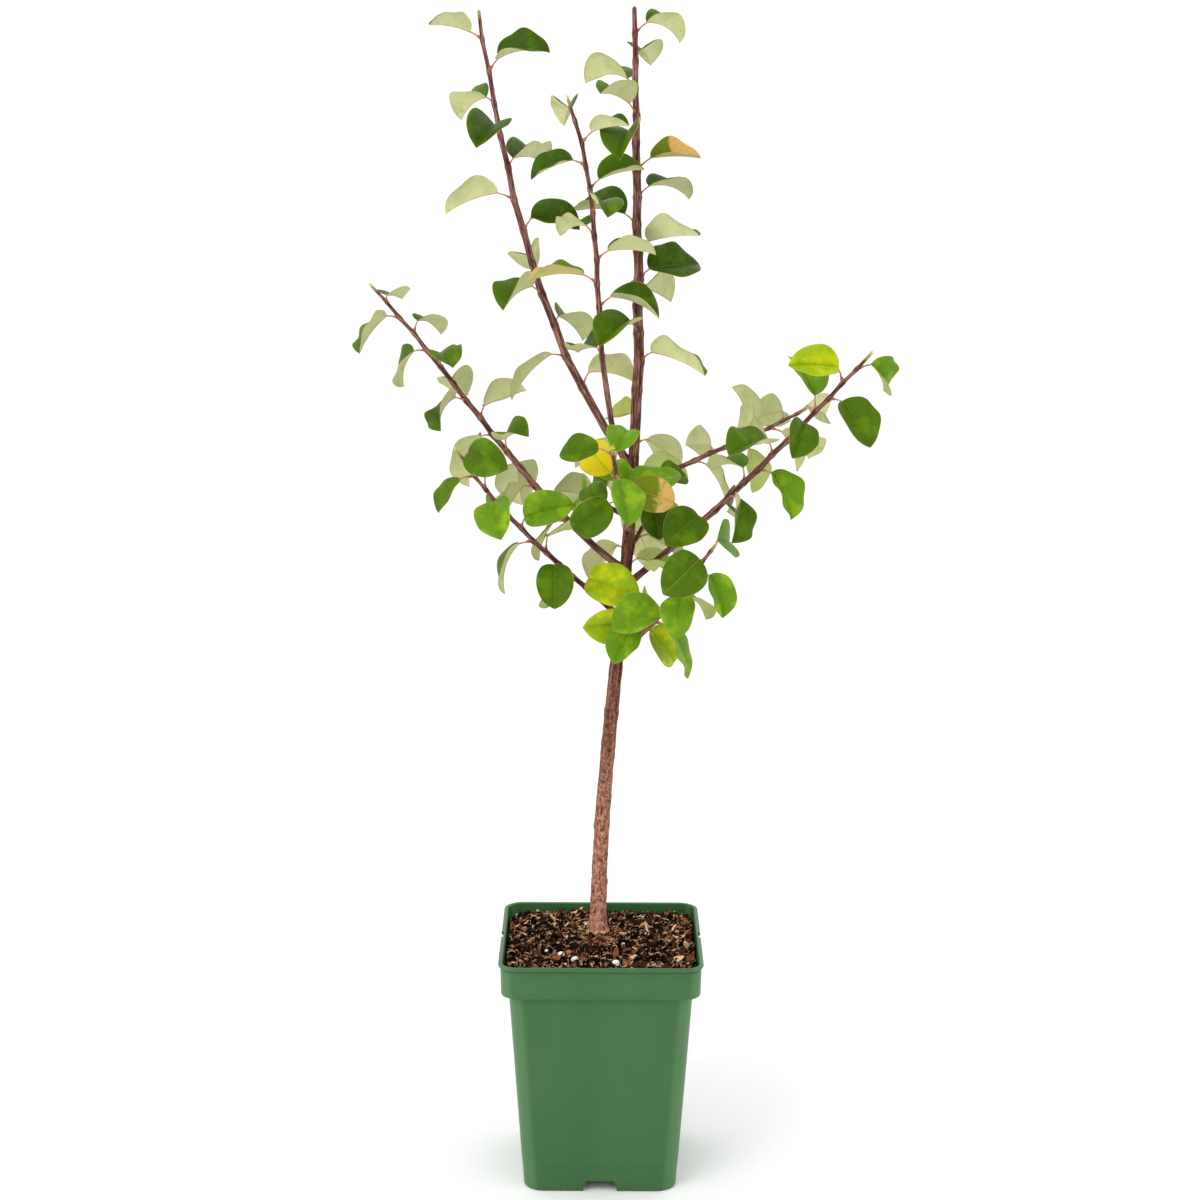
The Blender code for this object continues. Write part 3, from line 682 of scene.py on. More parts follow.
def curled_plate(length, width, thick, curl, cup, columns=PLATE_EDGES):
    """A torn plate of bark that curls along its length and cups across it, and which points are its rim."""
    upper = []
    rim = []
    wide = len(columns)
    for i in range(PLATE_ROWS):
        share = i / (PLATE_ROWS - 1) - 0.5
        taper = 1 - (2 * abs(share)) ** 2.5 * chance.uniform(0.25, 0.75)
        angle = curl * share
        for across in columns:
            ragged = chance.uniform(0.80, 1.10)
            y = across * width / 2 * taper * ragged
            x = length * (1 + 0.3 * (ragged - 1)) * math.sin(angle) / curl
            z = length * (1 - math.cos(angle)) / curl + cup * y * y / width
            upper.append((x, y, z + thick * chance.uniform(-0.25, 0.25)))
            rim.append(1.0 if abs(across) == 1 or i in (0, PLATE_ROWS - 1) else 0.0)
    upper = np.array(upper)
    points = np.concatenate((upper, upper - np.array((0, 0, thick))))
    count = len(upper)
    faces = []
    for i in range(PLATE_ROWS - 1):
        for j in range(wide - 1):
            a = wide * i + j
            faces.append((a, a + wide, a + wide + 1, a + 1))
            faces.append((a + count, a + 1 + count, a + wide + 1 + count, a + wide + count))
    side_down = list(range(0, count, wide))
    end = list(range(count - wide + 1, count))
    side_up = list(range(count - 1 - wide, 0, -wide))
    start = list(range(wide - 2, 0, -1))
    edge = side_down + end + side_up + start
    for a, b in zip(edge, edge[1:] + edge[:1]):
        faces.append((b, a, a + count, b + count))
    return points, faces, np.array(rim + rim)


chips = Heap()
rims = []
tints = range(len(BARK_TINTS))
for _ in range(CRUMBS):
    size = chance.uniform(*CRUMB_SIZES)
    points = roughened(crumb_points, 0.16) * size * np.array((1, chance.uniform(0.6, 1), 0.7))
    tint = chance.choices(tints, CRUMB_TINTS)[0]
    x, y = any_place(CRUMB_CLEAR)
    chips.add(laid(points, x, y, size * 0.12, 0.6, chance.uniform(0, FULL_TURN)), crumb_faces, tint)
    rims.append(np.zeros(len(points)))
for kind in CHIP_KINDS:
    for _ in range(kind.count):
        length = chance.uniform(*kind.lengths)
        width = length * chance.uniform(*kind.widths)
        curl = chance.uniform(*kind.curls)
        thick = chance.uniform(*kind.thicknesses)
        cup = chance.uniform(*CHIP_CUPS)
        points, faces, rim = curled_plate(length, width, thick, curl, cup, kind.columns)
        if chance.random() < 0.5:
            points = points * np.array((1, -1, -1))
        tint = chance.choices(tints, kind.tints)[0]
        spin = chance.uniform(0, FULL_TURN)
        x, y = any_place(CHIP_CLEAR)
        chips.add(laid(points, x, y, chance.uniform(*kind.stands), kind.tilt, spin), faces, tint)
        rims.append(rim)
for _ in range(ROOT_HAIRS):
    length = chance.uniform(*HAIR_LENGTHS)
    points, faces, rim = curled_plate(length, HAIR_WIDTH, HAIR_THICKNESS, chance.uniform(*HAIR_CURLS), 0)
    heading = chance.gauss(*HAIR_WAY)
    away = chance.uniform(*ROOT_PATCH)
    x = trunk_foot.x + away * math.cos(heading)
    y = trunk_foot.y + away * math.sin(heading)
    spin = heading + chance.gauss(0, HAIR_SWING)
    chips.add(laid(points, x, y, chance.uniform(*HAIR_STANDS), 0.25, spin), faces, ROOT_TAN)
    rims.append(rim)
chips_piece = chips.piece("bark_chips", *bark_finishes, rim=rims)
smooth_below(chips_piece, 45)
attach(chips_piece, "root")

perlite = Heap()
for x, y, size in PERLITE:
    points = grain_points * size * np.array((1, chance.uniform(*GRAIN_BREADTHS), 0.70))
    swells = [noise.noise(Vector(point) * 420) + 0.45 * noise.noise(Vector(point) * 1300) for point in points]
    points = points * (1 + GRAIN_SWELL * np.array(swells)[:, None])
    rise = PERLITE_RISE + size * 0.24
    perlite.add(laid(points, x, y, rise, 0.3, chance.uniform(0, FULL_TURN)), grain_faces)
perlite_finish = Finish("expanded_perlite", roughness=0.9)
pores = perlite_finish.noise(perlite_finish.place(), 1100, detail=3, roughness=0.6)
perlite_finish.colour(perlite_finish.ramp(pores, (0.32, PERLITE_SHADE), (0.50, PERLITE_WHITE)))
perlite_finish.bumps(pores, 0.0004)
perlite_piece = perlite.piece("perlite", perlite_finish)
smooth_below(perlite_piece, 60)
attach(perlite_piece, "root")


# ---- The trunk ----
# A young woody stem, leaning a little to the right as it rises. Its bark is rough and pinkish grey at
# the foot, where it flares into the mix, and smoother and darker above, with old leaf scars round it.

TRUNK_LENGTH = 0.5210
TRUNK_LEANS = (0.0, 5.2, 2.4)
TRUNK_STEPS = 16
TRUNK_FOOT_RADIUS = 0.0088
TRUNK_TOP_RADIUS = 0.0058
FLARE = 0.0028
FLARE_HEIGHT = 0.0140
FLARE_LOBES = 0.0010
LOBE_HEIGHT = 0.016
LOBE_TURN = 40
TRUNK_EASE = 12
TRUNK_RING = 0.0013
TRUNK_SIDES = 44
# The height above the foot of each old leaf scar, and the way it faces.
TRUNK_SCARS = (
    (0.056, 200),
    (0.118, 330),
    (0.150, 95),
    (0.197, 225),
    (0.246, 20),
    (0.292, 250),
    (0.338, 110),
    (0.376, 345),
    (0.425, 190),
    (0.470, 60),
)
SCAR_RISE = 0.0011
SCAR_HEIGHT = 0.0035
SCAR_SPREAD = 55
LEDGE_SLOPE = 2.2  # how much longer the ledge is below than above
BARK_RELIEF = 0.0008
FLAKY_HEIGHT = 0.16
TRUNK_WAVES = 0.0006
OLD_BARK = (0.300, 0.108, 0.058)
OLD_BARK_PALE = (0.540, 0.290, 0.190)
OLD_BARK_CRACK = (0.045, 0.014, 0.008)
YOUNG_BARK = (0.084, 0.025, 0.014)
YOUNG_BARK_PALE = (0.260, 0.108, 0.070)
YOUNG_BARK_CRACK = (0.016, 0.005, 0.003)
SCURF = (0.560, 0.380, 0.300)
OLD_BARK_TOP = (0.31, 0.03)  # the old bark thins out between these heights above the mix


def direction(lean, azimuth):
    lean = math.radians(lean)
    azimuth = math.radians(azimuth)
    out = math.sin(lean)
    return Vector((out * math.cos(azimuth), out * math.sin(azimuth), math.cos(lean)))


def lean_at(leans, share):
    """The lean part of the way along, from those at the foot, middle and tip."""
    foot, middle, tip = leans
    rest = 1 - share
    return foot * rest * (rest - share) + middle * 4 * share * rest + tip * share * (share - rest)


def trunk_path(foot):
    """The trunk's centre line. Its first step is upright."""
    step = TRUNK_LENGTH / TRUNK_STEPS
    points = [foot]
    for i in range(TRUNK_STEPS):
        lean = lean_at(TRUNK_LEANS, (i + 0.5) / TRUNK_STEPS) if i else 0
        points.append(points[-1] + direction(lean, 0) * step)
    return points


def trunk_radius(height):
    """The radius at a height above the foot: a straight taper and the root flare."""
    taper = TRUNK_FOOT_RADIUS + (TRUNK_TOP_RADIUS - TRUNK_FOOT_RADIUS) * height / TRUNK_LENGTH
    return taper + FLARE * math.exp(-height / FLARE_HEIGHT)


class Line(NamedTuple):
    """Close points along a limb's middle, two directions square to it there, and how far along each is."""

    centres: np.ndarray
    sides: np.ndarray
    ups: np.ndarray
    along: np.ndarray


def centre_line(points, step, ease):
    """A limb's path in close steps, with its corners eased."""
    points = np.array([tuple(point) for point in points])
    knots = np.concatenate(([0], np.cumsum(np.linalg.norm(np.diff(points, axis=0), axis=1))))
    along = np.linspace(0, knots[-1], max(3, round(knots[-1] / step) + 1))
    centres = np.stack([np.interp(along, knots, points[:, axis]) for axis in range(3)], axis=1)
    for _ in range(ease):
        centres[1:-1] = (centres[:-2] + 2 * centres[1:-1] + centres[2:]) / 4
    headings = np.gradient(centres, axis=0)
    headings /= np.linalg.norm(headings, axis=1, keepdims=True)
    side = np.cross(headings[0], (0, 1, 0) if abs(headings[0][1]) < 0.9 else (1, 0, 0))
    sides = []
    for heading in headings:
        side = side - heading * side.dot(heading)
        side /= np.linalg.norm(side)
        sides.append(side)
    return Line(centres, np.array(sides), np.cross(headings, sides), along)


def limb_skin(line, radii, around, relief):
    """Rings of points round a centre line, closed at both ends, and the bark's place at each.

    The bark's place is the point on the limb if it were straightened, so that grain runs along it.
    """
    turns = np.arange(around) * 2 * math.pi / around
    points = []
    bark = []
    for centre, side, up, along, radius in zip(*line, radii):
        for turn in turns:
            spot = Vector((radius * math.cos(turn), radius * math.sin(turn), along))
            reach = radius + relief(spot, math.degrees(turn))
            points.append(centre + (side * math.cos(turn) + up * math.sin(turn)) * reach)
            bark.append(tuple(spot))
    faces = [tuple(range(around - 1, -1, -1))]
    for row in range(len(line.centres) - 1):
        for i in range(around):
            a, b = row * around + i, row * around + (i + 1) % around
            faces.append((a, b, b + around, a + around))
    last = (len(line.centres) - 1) * around
    faces.append(tuple(range(last, last + around)))
    return np.array(points), faces, np.array(bark)


def turn_between(first, second):
    return abs((first - second + 180) % 360 - 180)


def trunk_relief(spot, turn):
    """How far the bark stands out: flaky low down, nearly smooth at the top, with a ledge at each scar."""
    height = spot.z
    rough = BARK_RELIEF * (0.30 + 0.70 * math.exp(-height / FLAKY_HEIGHT))
    flakes = noise.fractal(Vector((spot.x * 260, spot.y * 260, height * 170)), 0.9, 2.1, 4)
    plates = noise.turbulence(Vector((spot.x * 110, spot.y * 110, height * 60)), 3, False)
    waves = noise.noise(Vector((spot.x * 60, spot.y * 60, height * 22)))
    rise = rough * (0.9 * flakes + 0.8 * (plates - 0.4)) + TRUNK_WAVES * waves
    rise += FLARE_LOBES * math.cos(math.radians(3 * turn + LOBE_TURN)) * math.exp(-height / LOBE_HEIGHT)
    for scar_height, scar_turn in TRUNK_SCARS:
        near = (height - scar_height) / SCAR_HEIGHT
        facing = math.exp(-((turn_between(turn, scar_turn) / SCAR_SPREAD) ** 2))
        if abs(near) < 4:
            ledge = math.exp(-(near**2)) if near > 0 else math.exp(-((near / LEDGE_SLOPE) ** 2))
            rise += SCAR_RISE * ledge * (0.30 + 0.70 * facing)
    return rise


trunk_points = trunk_path(trunk_foot)
trunk_line = centre_line(trunk_points, TRUNK_RING, TRUNK_EASE)
trunk_radii = [trunk_radius(height) for height in trunk_line.centres[:, 2] - trunk_foot.z]
points, faces, bark = limb_skin(trunk_line, trunk_radii, TRUNK_SIDES, trunk_relief)
trunk_heap = Heap()
trunk_heap.add(points, faces)
trunk_finish = Finish("trunk_bark", roughness=0.8, specular=0.1)
grain_place = trunk_finish.attribute("bark")
height_up = trunk_finish.node("SeparateXYZ", {"Vector": grain_place}, output=2)


def bark_place(finish, scale):
    return finish.node("Mapping", {"Vector": finish.attribute("bark"), "Scale": scale})


flecks = trunk_finish.noise(bark_place(trunk_finish, (1, 1, 0.6)), 420, detail=5, roughness=0.7)
blotted = bark_place(trunk_finish, (1, 1, 0.5))
blots = trunk_finish.noise(blotted, 120, detail=4, roughness=0.6, distortion=1.2)
streaks = trunk_finish.noise(bark_place(trunk_finish, (1, 1, 0.07)), 330, detail=4, roughness=0.6)
lenticels = trunk_finish.node(
    "TexVoronoi",
    {"Vector": bark_place(trunk_finish, (1, 1, 1.9)), "Scale": 190, "Randomness": 1.0},
    feature="F1",
)
old = trunk_finish.ramp(
    flecks * 0.65 + blots * 0.35, (0.39, OLD_BARK_CRACK), (0.47, OLD_BARK), (0.61, OLD_BARK_PALE)
)
young = trunk_finish.ramp(
    streaks * 0.65 + flecks * 0.35, (0.38, YOUNG_BARK_CRACK), (0.48, YOUNG_BARK), (0.62, YOUNG_BARK_PALE)
)
aged = (height_up + (blots - 0.5) * 0.12).between(*OLD_BARK_TOP)
wood_colour = trunk_finish.mix(aged, young, old)
dots = lenticels.between(0.17, 0.10) * blots.between(0.50, 0.56)
scurf = trunk_finish.node(
    "TexVoronoi", {"Vector": bark_place(trunk_finish, (1, 1, 0.8)), "Scale": 520}, feature="DISTANCE_TO_EDGE"
)
scurf = scurf.between(0.12, 0.02) * flecks.between(0.44, 0.58) * (aged * 0.6 + 0.1)
trunk_finish.colour(trunk_finish.mix((dots * 0.75).greater(scurf), wood_colour, SCURF))
trunk_finish.gloss(0.60 + aged * 0.25)
trunk_finish.bumps(flecks * 0.5 + streaks * 0.3 + dots * 0.4, 0.0007)
trunk = trunk_heap.piece("trunk_wood", trunk_finish, bark=[bark])
smooth_below(trunk, 70)
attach(trunk, "root")
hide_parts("trunk")


# ---- The shoots ----
# The leader and the boughs, each with a little collar where it leaves the trunk. Last season's wood is
# thin, streaked in purplish brown, and kinks a little at each leaf, where it swells round the scar. The
# last few millimetres of a tip are still soft and olive, but for the leader's, which has ripened.

SPIRAL_TURN = 144.0
KINK = 3.0
LIMB_TAPER = 1.8
INTERNODE_POWER = 0.97
BUD_SHARE = 0.06
LIMB_GAP = 0.0003
COLLAR = 0.0013
COLLAR_LENGTH = 0.0060
NODE_SWELLING = 0.0007
NODE_LENGTH = 0.0036
SHOOT_RING = 0.0018
SHOOT_SIDES = 14
SHOOT_EASE = 3
SHOOT_RELIEF = 0.00012
TIP_BLUNTNESS = 0.08
GRAIN_STEP = 0.1
SHOOT_BARK = (0.125, 0.042, 0.031)
SHOOT_BARK_DARK = (0.030, 0.008, 0.006)
SHOOT_BARK_PALE = (0.370, 0.185, 0.145)
LENTICEL_PALE = (0.46, 0.33, 0.28)
TIP_OLIVE = (0.360, 0.300, 0.085)
TIP_RIPENING = (0.012, 0.004)  # how far from a tip the olive starts to show, and where it is full


class Shoot(NamedTuple):
    """A shoot, from the trunk to its tip. Heights are where it leaves the trunk's centre line."""

    name: str
    height: float
    azimuth: float
    leans: tuple
    length: float
    foot_radius: float
    tip_radius: float
    bare: float  # the share of its length below the first leaf
    leaves: int
    phase: float  # where the first leaf points, round the shoot
    hand: int  # +1 or -1, the way its spiral turns
    leaf_length: float
    seed: int


SHOOTS = (
    Shoot("leader", 0.0, 0, (3.1, -0.8, -0.7), 0.4560, 0.0056, 0.0023, 0.15, 14, 90, 1, 0.066, 1),
    Shoot("left_leader", 0.7640, 152, (42, 19, 11), 0.5110, 0.0043, 0.0018, 0.20, 12, 90, -1, 0.065, 2),
    Shoot("middle_shoot", 0.7480, 215, (30, 4, 26), 0.4080, 0.0031, 0.0017, 0.35, 11, 180, 1, 0.055, 3),
    Shoot("left_bough", 0.6554, 158, (58, 42, 48), 0.4150, 0.0037, 0.0016, 0.20, 14, 270, -1, 0.060, 4),
    Shoot("low_left_bough", 0.6057, 205, (48, 46, 33), 0.2670, 0.0030, 0.0014, 0.20, 11, 45, 1, 0.055, 5),
    Shoot("right_bough", 0.6385, -22, (50, 45, 42), 0.3690, 0.0037, 0.0016, 0.30, 12, 135, -1, 0.060, 6),
    Shoot("upper_right_bough", 0.7436, 28, (70, 73, 67), 0.2270, 0.0028, 0.0015, 0.35, 8, 225, 1, 0.058, 7),
    Shoot("low_right_bough", 0.5669, -48, (58, 45, 42), 0.2030, 0.0028, 0.0015, 0.35, 8, 315, -1, 0.058, 8),
    Shoot("front_bough", 0.7000, 262, (60, 52, 38), 0.1700, 0.0027, 0.0015, 0.35, 7, 60, 1, 0.057, 9),
    Shoot("back_bough", 0.6200, 84, (55, 46, 36), 0.2600, 0.0031, 0.0015, 0.20, 9, 150, -1, 0.058, 10),
)

SPURS = (
    Shoot("high_spur", 0.7300, 300, (70, 60, 50), 0.0500, 0.0026, 0.0016, 0.35, 3, 120, 1, 0.050, 11),
    Shoot("left_spur", 0.7150, 190, (75, 60, 50), 0.0520, 0.0026, 0.0016, 0.50, 4, 90, -1, 0.050, 12),
    Shoot("back_spur", 0.6800, 60, (70, 60, 50), 0.0550, 0.0026, 0.0016, 0.35, 3, 180, 1, 0.052, 13),
    Shoot("low_spur", 0.5850, 310, (75, 60, 50), 0.0420, 0.0026, 0.0016, 0.35, 5, 270, -1, 0.052, 14),
)


def node_shares(shoot):
    """Where the leaves stand, as shares of the shoot's length."""
    leafy = 1 - shoot.bare - BUD_SHARE
    last = shoot.leaves - 1
    return [shoot.bare + leafy * (i / last) ** INTERNODE_POWER for i in range(shoot.leaves)]


def round_the_shoot(heading, angle):
    """A direction square to the heading, at an angle round it."""
    level = Vector((0, 0, 1)).cross(heading)
    level = level.normalized() if level.length > 0.01 else Vector((1, 0, 0))
    angle = math.radians(angle)
    return (level * math.cos(angle) + heading.cross(level) * math.sin(angle)).normalized()


def point_at_height(points, height):
    for low, high in zip(points, points[1:]):
        if low.z <= height <= high.z:
            return low.lerp(high, (height - low.z) / (high.z - low.z))
    return points[-1].copy()


def shoot_path(shoot, start):
    """Its points and shares of length: two on the bare foot, one at each leaf and the bud."""
    shares = [0, shoot.bare / 2, *node_shares(shoot), 1]
    points = [start]
    for i, (low, high) in enumerate(zip(shares, shares[1:])):
        heading = direction(lean_at(shoot.leans, (low + high) / 2), shoot.azimuth)
        if i > 1:
            away = round_the_shoot(heading, shoot.phase + shoot.hand * SPIRAL_TURN * (i - 2))
            heading = (heading - away * math.tan(math.radians(KINK))).normalized()
        points.append(points[-1] + heading * shoot.length * (high - low))
    return points, shares


def radius_at(shoot, share):
    return shoot.foot_radius + (shoot.tip_radius - shoot.foot_radius) * share**LIMB_TAPER


def wood_radius(shoot, shares, share):
    """The wood's radius with its collar, its swellings and its rounded end."""
    along = share * shoot.length
    radius = radius_at(shoot, share)
    if shoot.height:
        radius += COLLAR * math.exp(-max(0.0, along - TRUNK_FOOT_RADIUS) / COLLAR_LENGTH)
    for node in shares[2:-1]:
        radius += NODE_SWELLING * math.exp(-(((node - share) * shoot.length / NODE_LENGTH) ** 2))
    left = shoot.length * (1 - share)
    return radius * math.sqrt(min(1.0, left / shoot.tip_radius + TIP_BLUNTNESS))


def shoot_relief(spot, turn):
    """Fine ridges that run along the shoot, and slow waves."""
    ridges = noise.noise(Vector((spot.x * 700, spot.y * 700, spot.z * 25)))
    waves = noise.noise(Vector((spot.x * 150, spot.y * 150, spot.z * 60)))
    return SHOOT_RELIEF * ridges + SHOOT_RELIEF * waves


grown = []
shoot_heap = Heap()
shoot_bark = []
shoot_tips = []
for shoot in SHOOTS + SPURS:
    if shoot.height:
        start = point_at_height(trunk_points, shoot.height)
    else:
        start = trunk_points[-1] + Vector((0, 0, LIMB_GAP))
    points, shares = shoot_path(shoot, start)
    grown.append((shoot, points, shares))
    line = centre_line(points, SHOOT_RING, SHOOT_EASE)
    radii = [wood_radius(shoot, shares, along / line.along[-1]) for along in line.along]
    skin_points, faces, bark = limb_skin(line, radii, SHOOT_SIDES, shoot_relief)
    shoot_heap.add(skin_points, faces)
    bark[:, 0] += GRAIN_STEP * len(grown)  # each shoot has its own part of the grain
    shoot_bark.append(bark)
    ripened = TIP_RIPENING[0] if shoot.name == "leader" else 0
    shoot_tips.append(line.along[-1] - np.repeat(line.along, SHOOT_SIDES) + ripened)

shoot_finish = Finish("shoot_bark", roughness=0.45, specular=0.12)
ridges = shoot_finish.noise(bark_place(shoot_finish, (1, 1, 0.05)), 900, detail=3, roughness=0.6)
patches = shoot_finish.noise(bark_place(shoot_finish, (1, 1, 0.35)), 160, detail=4, roughness=0.6)
specks = shoot_finish.noise(bark_place(shoot_finish, (1, 1, 0.8)), 1300, detail=2)
shoot_colour = shoot_finish.ramp(
    ridges * 0.7 + patches * 0.3, (0.40, SHOOT_BARK_DARK), (0.50, SHOOT_BARK), (0.61, SHOOT_BARK_PALE)
)
soft_tip = shoot_finish.attribute("tip", output="Fac").between(*TIP_RIPENING)
shoot_colour = shoot_finish.mix(soft_tip * 0.85, shoot_colour, TIP_OLIVE)
shoot_finish.colour(shoot_finish.mix(specks.between(0.66, 0.74) * 0.6, shoot_colour, LENTICEL_PALE))
shoot_finish.gloss(0.34 + patches.between(0.4, 0.7) * 0.25)
shoot_finish.bumps(ridges * 0.6 + specks * 0.3, 0.0003)
shoots_piece = shoot_heap.piece("shoot_wood", shoot_finish, bark=shoot_bark, tip=shoot_tips)
smooth_below(shoots_piece, 70)
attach(shoots_piece, "root")
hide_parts(*(shoot.name for shoot in SHOOTS))


# ---- How the leaves stand ----
# One leaf to each node, following the last by two fifths of a turn. Low leaves hang, high ones reach
# out level, and each turns its upper side a little to the front. None touches another or a limb.

PETIOLE_LENGTH = 0.0120
PETIOLE_ANGLE = 50.0
PETIOLE_REACHES = (0.8, 1.2)
TURN_CHANCE = 25.0
ROLL_CHANCE = 34.0
DROOP_CHANCES = (-0.25, 0.30)
LENGTH_CHANCES = (0.85, 1.12)
FOLDS = (8, 28)
HIGH_FOLD = 28.0
ARCHES = (15, 60)
OUTWARD = 0.95
ONWARD = 0.30
LEAF_RATIO = 0.84
LEAF_STATIONS = (0.13, 0.45, 0.80)
LEAF_SHAPE = 0.86
LEAF_ROUNDING = 0.58
TIP_LEAF_SHARE = 0.86
TIP_LEAF_POWER = 0.6
LOW_DROOP = 0.75
HIGH_DROOP = -0.06
CROWN_FOOT = 0.55
CROWN_TOP = 1.20
LIGHT = Vector((0.0, -0.18, 0.0))
LEAF_CLEARANCE = 0.0015
LIMB_CLEARANCE = 0.0020
LEAF_TRIES = 14
SAMPLE_SPACING = 0.006
FLARE_STEPS = (0.18, 0.42, 0.70)


class Leaf(NamedTuple):
    """One leaf: a petiole from the shoot's centre line, then a folded blade that arches over."""

    foot: Vector
    base: Vector
    along: Vector
    side: Vector
    up: Vector
    length: float
    fold: float
    arch: float


def grow_leaf(shoot, index, foot, heading, chance):
    """A leaf at one node. Low leaves hang more, high ones are folded more, and chance does the rest."""
    age = 1 - index / (shoot.leaves - 1)
    turn = shoot.phase + shoot.hand * SPIRAL_TURN * index + chance.uniform(-TURN_CHANCE, TURN_CHANCE)
    outward = round_the_shoot(heading, turn)
    slant = math.radians(PETIOLE_ANGLE)
    petiole = heading * math.cos(slant) + outward * math.sin(slant)
    rise = min(1, max(0, (foot.z - CROWN_FOOT) / (CROWN_TOP - CROWN_FOOT)))
    droop = LOW_DROOP + (HIGH_DROOP - LOW_DROOP) * rise + chance.uniform(*DROOP_CHANCES)
    along = (outward * OUTWARD + heading * ONWARD - Vector((0, 0, droop))).normalized()
    side = heading.cross(outward)
    side = (along.cross(side) + LIGHT).cross(along).normalized()
    roll = math.radians(chance.uniform(-ROLL_CHANCE, ROLL_CHANCE))
    side = Matrix.Rotation(roll, 3, along) @ side
    size = TIP_LEAF_SHARE + (1 - TIP_LEAF_SHARE) * age**TIP_LEAF_POWER
    length = shoot.leaf_length * size * chance.uniform(*LENGTH_CHANCES)
    fold = math.radians(chance.uniform(*FOLDS) + HIGH_FOLD * rise)
    arch = math.radians(chance.uniform(*ARCHES))
    reach = PETIOLE_LENGTH * chance.uniform(*PETIOLE_REACHES) + radius_at(shoot, 0)
    return Leaf(foot, foot + petiole * reach, along, side, along.cross(side), length, fold, arch)


def half_width(leaf, share):
    return leaf.length * LEAF_RATIO / 2 * math.sin(math.pi * share**LEAF_SHAPE) ** LEAF_ROUNDING


def blade_point(leaf, share, across, lift=0.0):
    """A point of the blade: share runs from its base to its tip, across from -1 to 1."""
    bend = leaf.arch * share
    rise = leaf.along * math.sin(bend) + leaf.up * (math.cos(bend) - 1)
    rib = leaf.base + rise * leaf.length / leaf.arch
    up = leaf.up * math.cos(bend) + leaf.along * math.sin(bend)
    if not across:
        return rib + up * lift
    reach = abs(across) * half_width(leaf, share)
    out = math.copysign(reach * math.cos(leaf.fold), across)
    return rib + leaf.side * out + up * (reach * math.sin(leaf.fold) + lift)


def blade_tree(leaf):
    """What other leaves and limbs are kept clear of: the blade, thickened by its clearance."""
    side = leaf.side * LEAF_CLEARANCE
    up = leaf.up * LEAF_CLEARANCE
    points = [leaf.base - side, leaf.base + up, leaf.base + side, leaf.base - up]
    for share in LEAF_STATIONS:
        points += [blade_point(leaf, share, -1), blade_point(leaf, share, 0, LEAF_CLEARANCE)]
        points += [blade_point(leaf, share, 1), blade_point(leaf, share, 0, -LEAF_CLEARANCE)]
    points.append(blade_point(leaf, 1, 0))
    faces = [(3, 2, 1, 0)]
    for row in range(len(LEAF_STATIONS)):
        for i in range(4):
            a, b = 4 * row + i, 4 * row + (i + 1) % 4
            c, d = b + 4, a + 4
            faces += [(a, b, d), (b, c, d)] if i % 2 == 0 else [(a, b, c), (a, c, d)]
    last = 4 * len(LEAF_STATIONS)
    faces += [(last + i, last + (i + 1) % 4, len(points) - 1) for i in range(4)]
    return BVHTree.FromPolygons(points, faces)


def limb_samples(points, radii):
    """Points with radii, close together along a limb, for keeping leaves clear of it."""
    samples = []
    for low, high, first, last in zip(points, points[1:], radii, radii[1:]):
        count = max(1, round((high - low).length / SAMPLE_SPACING))
        for i in range(count):
            samples.append((low.lerp(high, i / count), first + (last - first) * i / count))
    return samples


def is_clear(tree, others, samples):
    if any(tree.overlap(other) for other in others):
        return False
    return not any(tree.find_nearest(point, radius + LIMB_CLEARANCE)[0] for point, radius in samples)


def grow_leaves(shoot, points, others, samples):
    """The shoot's leaves by node. One that would touch another is tried again, and at last left out."""
    chance = random.Random(shoot.seed)
    leaves = {}
    for index in range(shoot.leaves):
        foot = points[index + 2]
        heading = (foot - points[index + 1]).normalized()
        for _ in range(LEAF_TRIES):
            leaf = grow_leaf(shoot, index, foot, heading, chance)
            tree = blade_tree(leaf)
            if is_clear(tree, others, samples):
                leaves[index] = leaf
                others.append(tree)
                break
    return leaves


flared = [trunk_points[0].lerp(trunk_points[1], share) for share in FLARE_STEPS]
trunk_knots = [trunk_points[0], *flared, *trunk_points[1:]]
samples = limb_samples(trunk_knots, [trunk_radius(point.z - trunk_foot.z) for point in trunk_knots])
for shoot, points, shares in grown:
    samples += limb_samples(points, [radius_at(shoot, share) for share in shares])
others = []
leafage = {shoot: grow_leaves(shoot, points, others, samples) for shoot, points, _ in grown}


# ---- Petioles and buds ----
# A leaf's stalk is slender, orange-red and a little bowed, with a swollen foot that wraps the shoot. In
# its angle sits next year's bud, a small brown cone of scales. Three pale leaflets still unfold at the
# end of each shoot but the two tallest, which end bluntly.

PETIOLE_SIDES = 8
PETIOLE_STEPS = 9
PETIOLE_FOOT = 0.0016
PETIOLE_NECK = 0.00085
PETIOLE_END = 0.00080
PETIOLE_BOW = 0.0016
PETIOLE_RING = 0.0014
PETIOLE_INTO_BLADE = 0.0012
FOOT_PLACE = 0.22  # the foot is thickest here, as a share of the stalk
FOOT_SPREAD = 0.16
BUD_LENGTH = 0.0042
BUD_WIDTH = 0.0022
BUD_SIZES = (0.75, 1.15)
BUD_LEAN = 28
BUD_SINK = 0.0003
BUD_ABOVE = 0.0024
BUD_SCALES = 22
BLUNT_TIPS = ("leader", "left_leader")
LEAFLET_LENGTHS = (0.0060, 0.0048, 0.0040)
LEAFLET_WIDTH = 0.0021
LEAFLET_LEANS = (10, 34, 48)
LEAFLET_SINK = 0.0016
LEAFLET_PALE = (0.640, 0.620, 0.270)
PETIOLE_RED = (0.360, 0.090, 0.050)
PETIOLE_PALE = (0.520, 0.270, 0.160)
BUD_BROWN = (0.200, 0.085, 0.050)
BUD_PALE = (0.520, 0.400, 0.200)


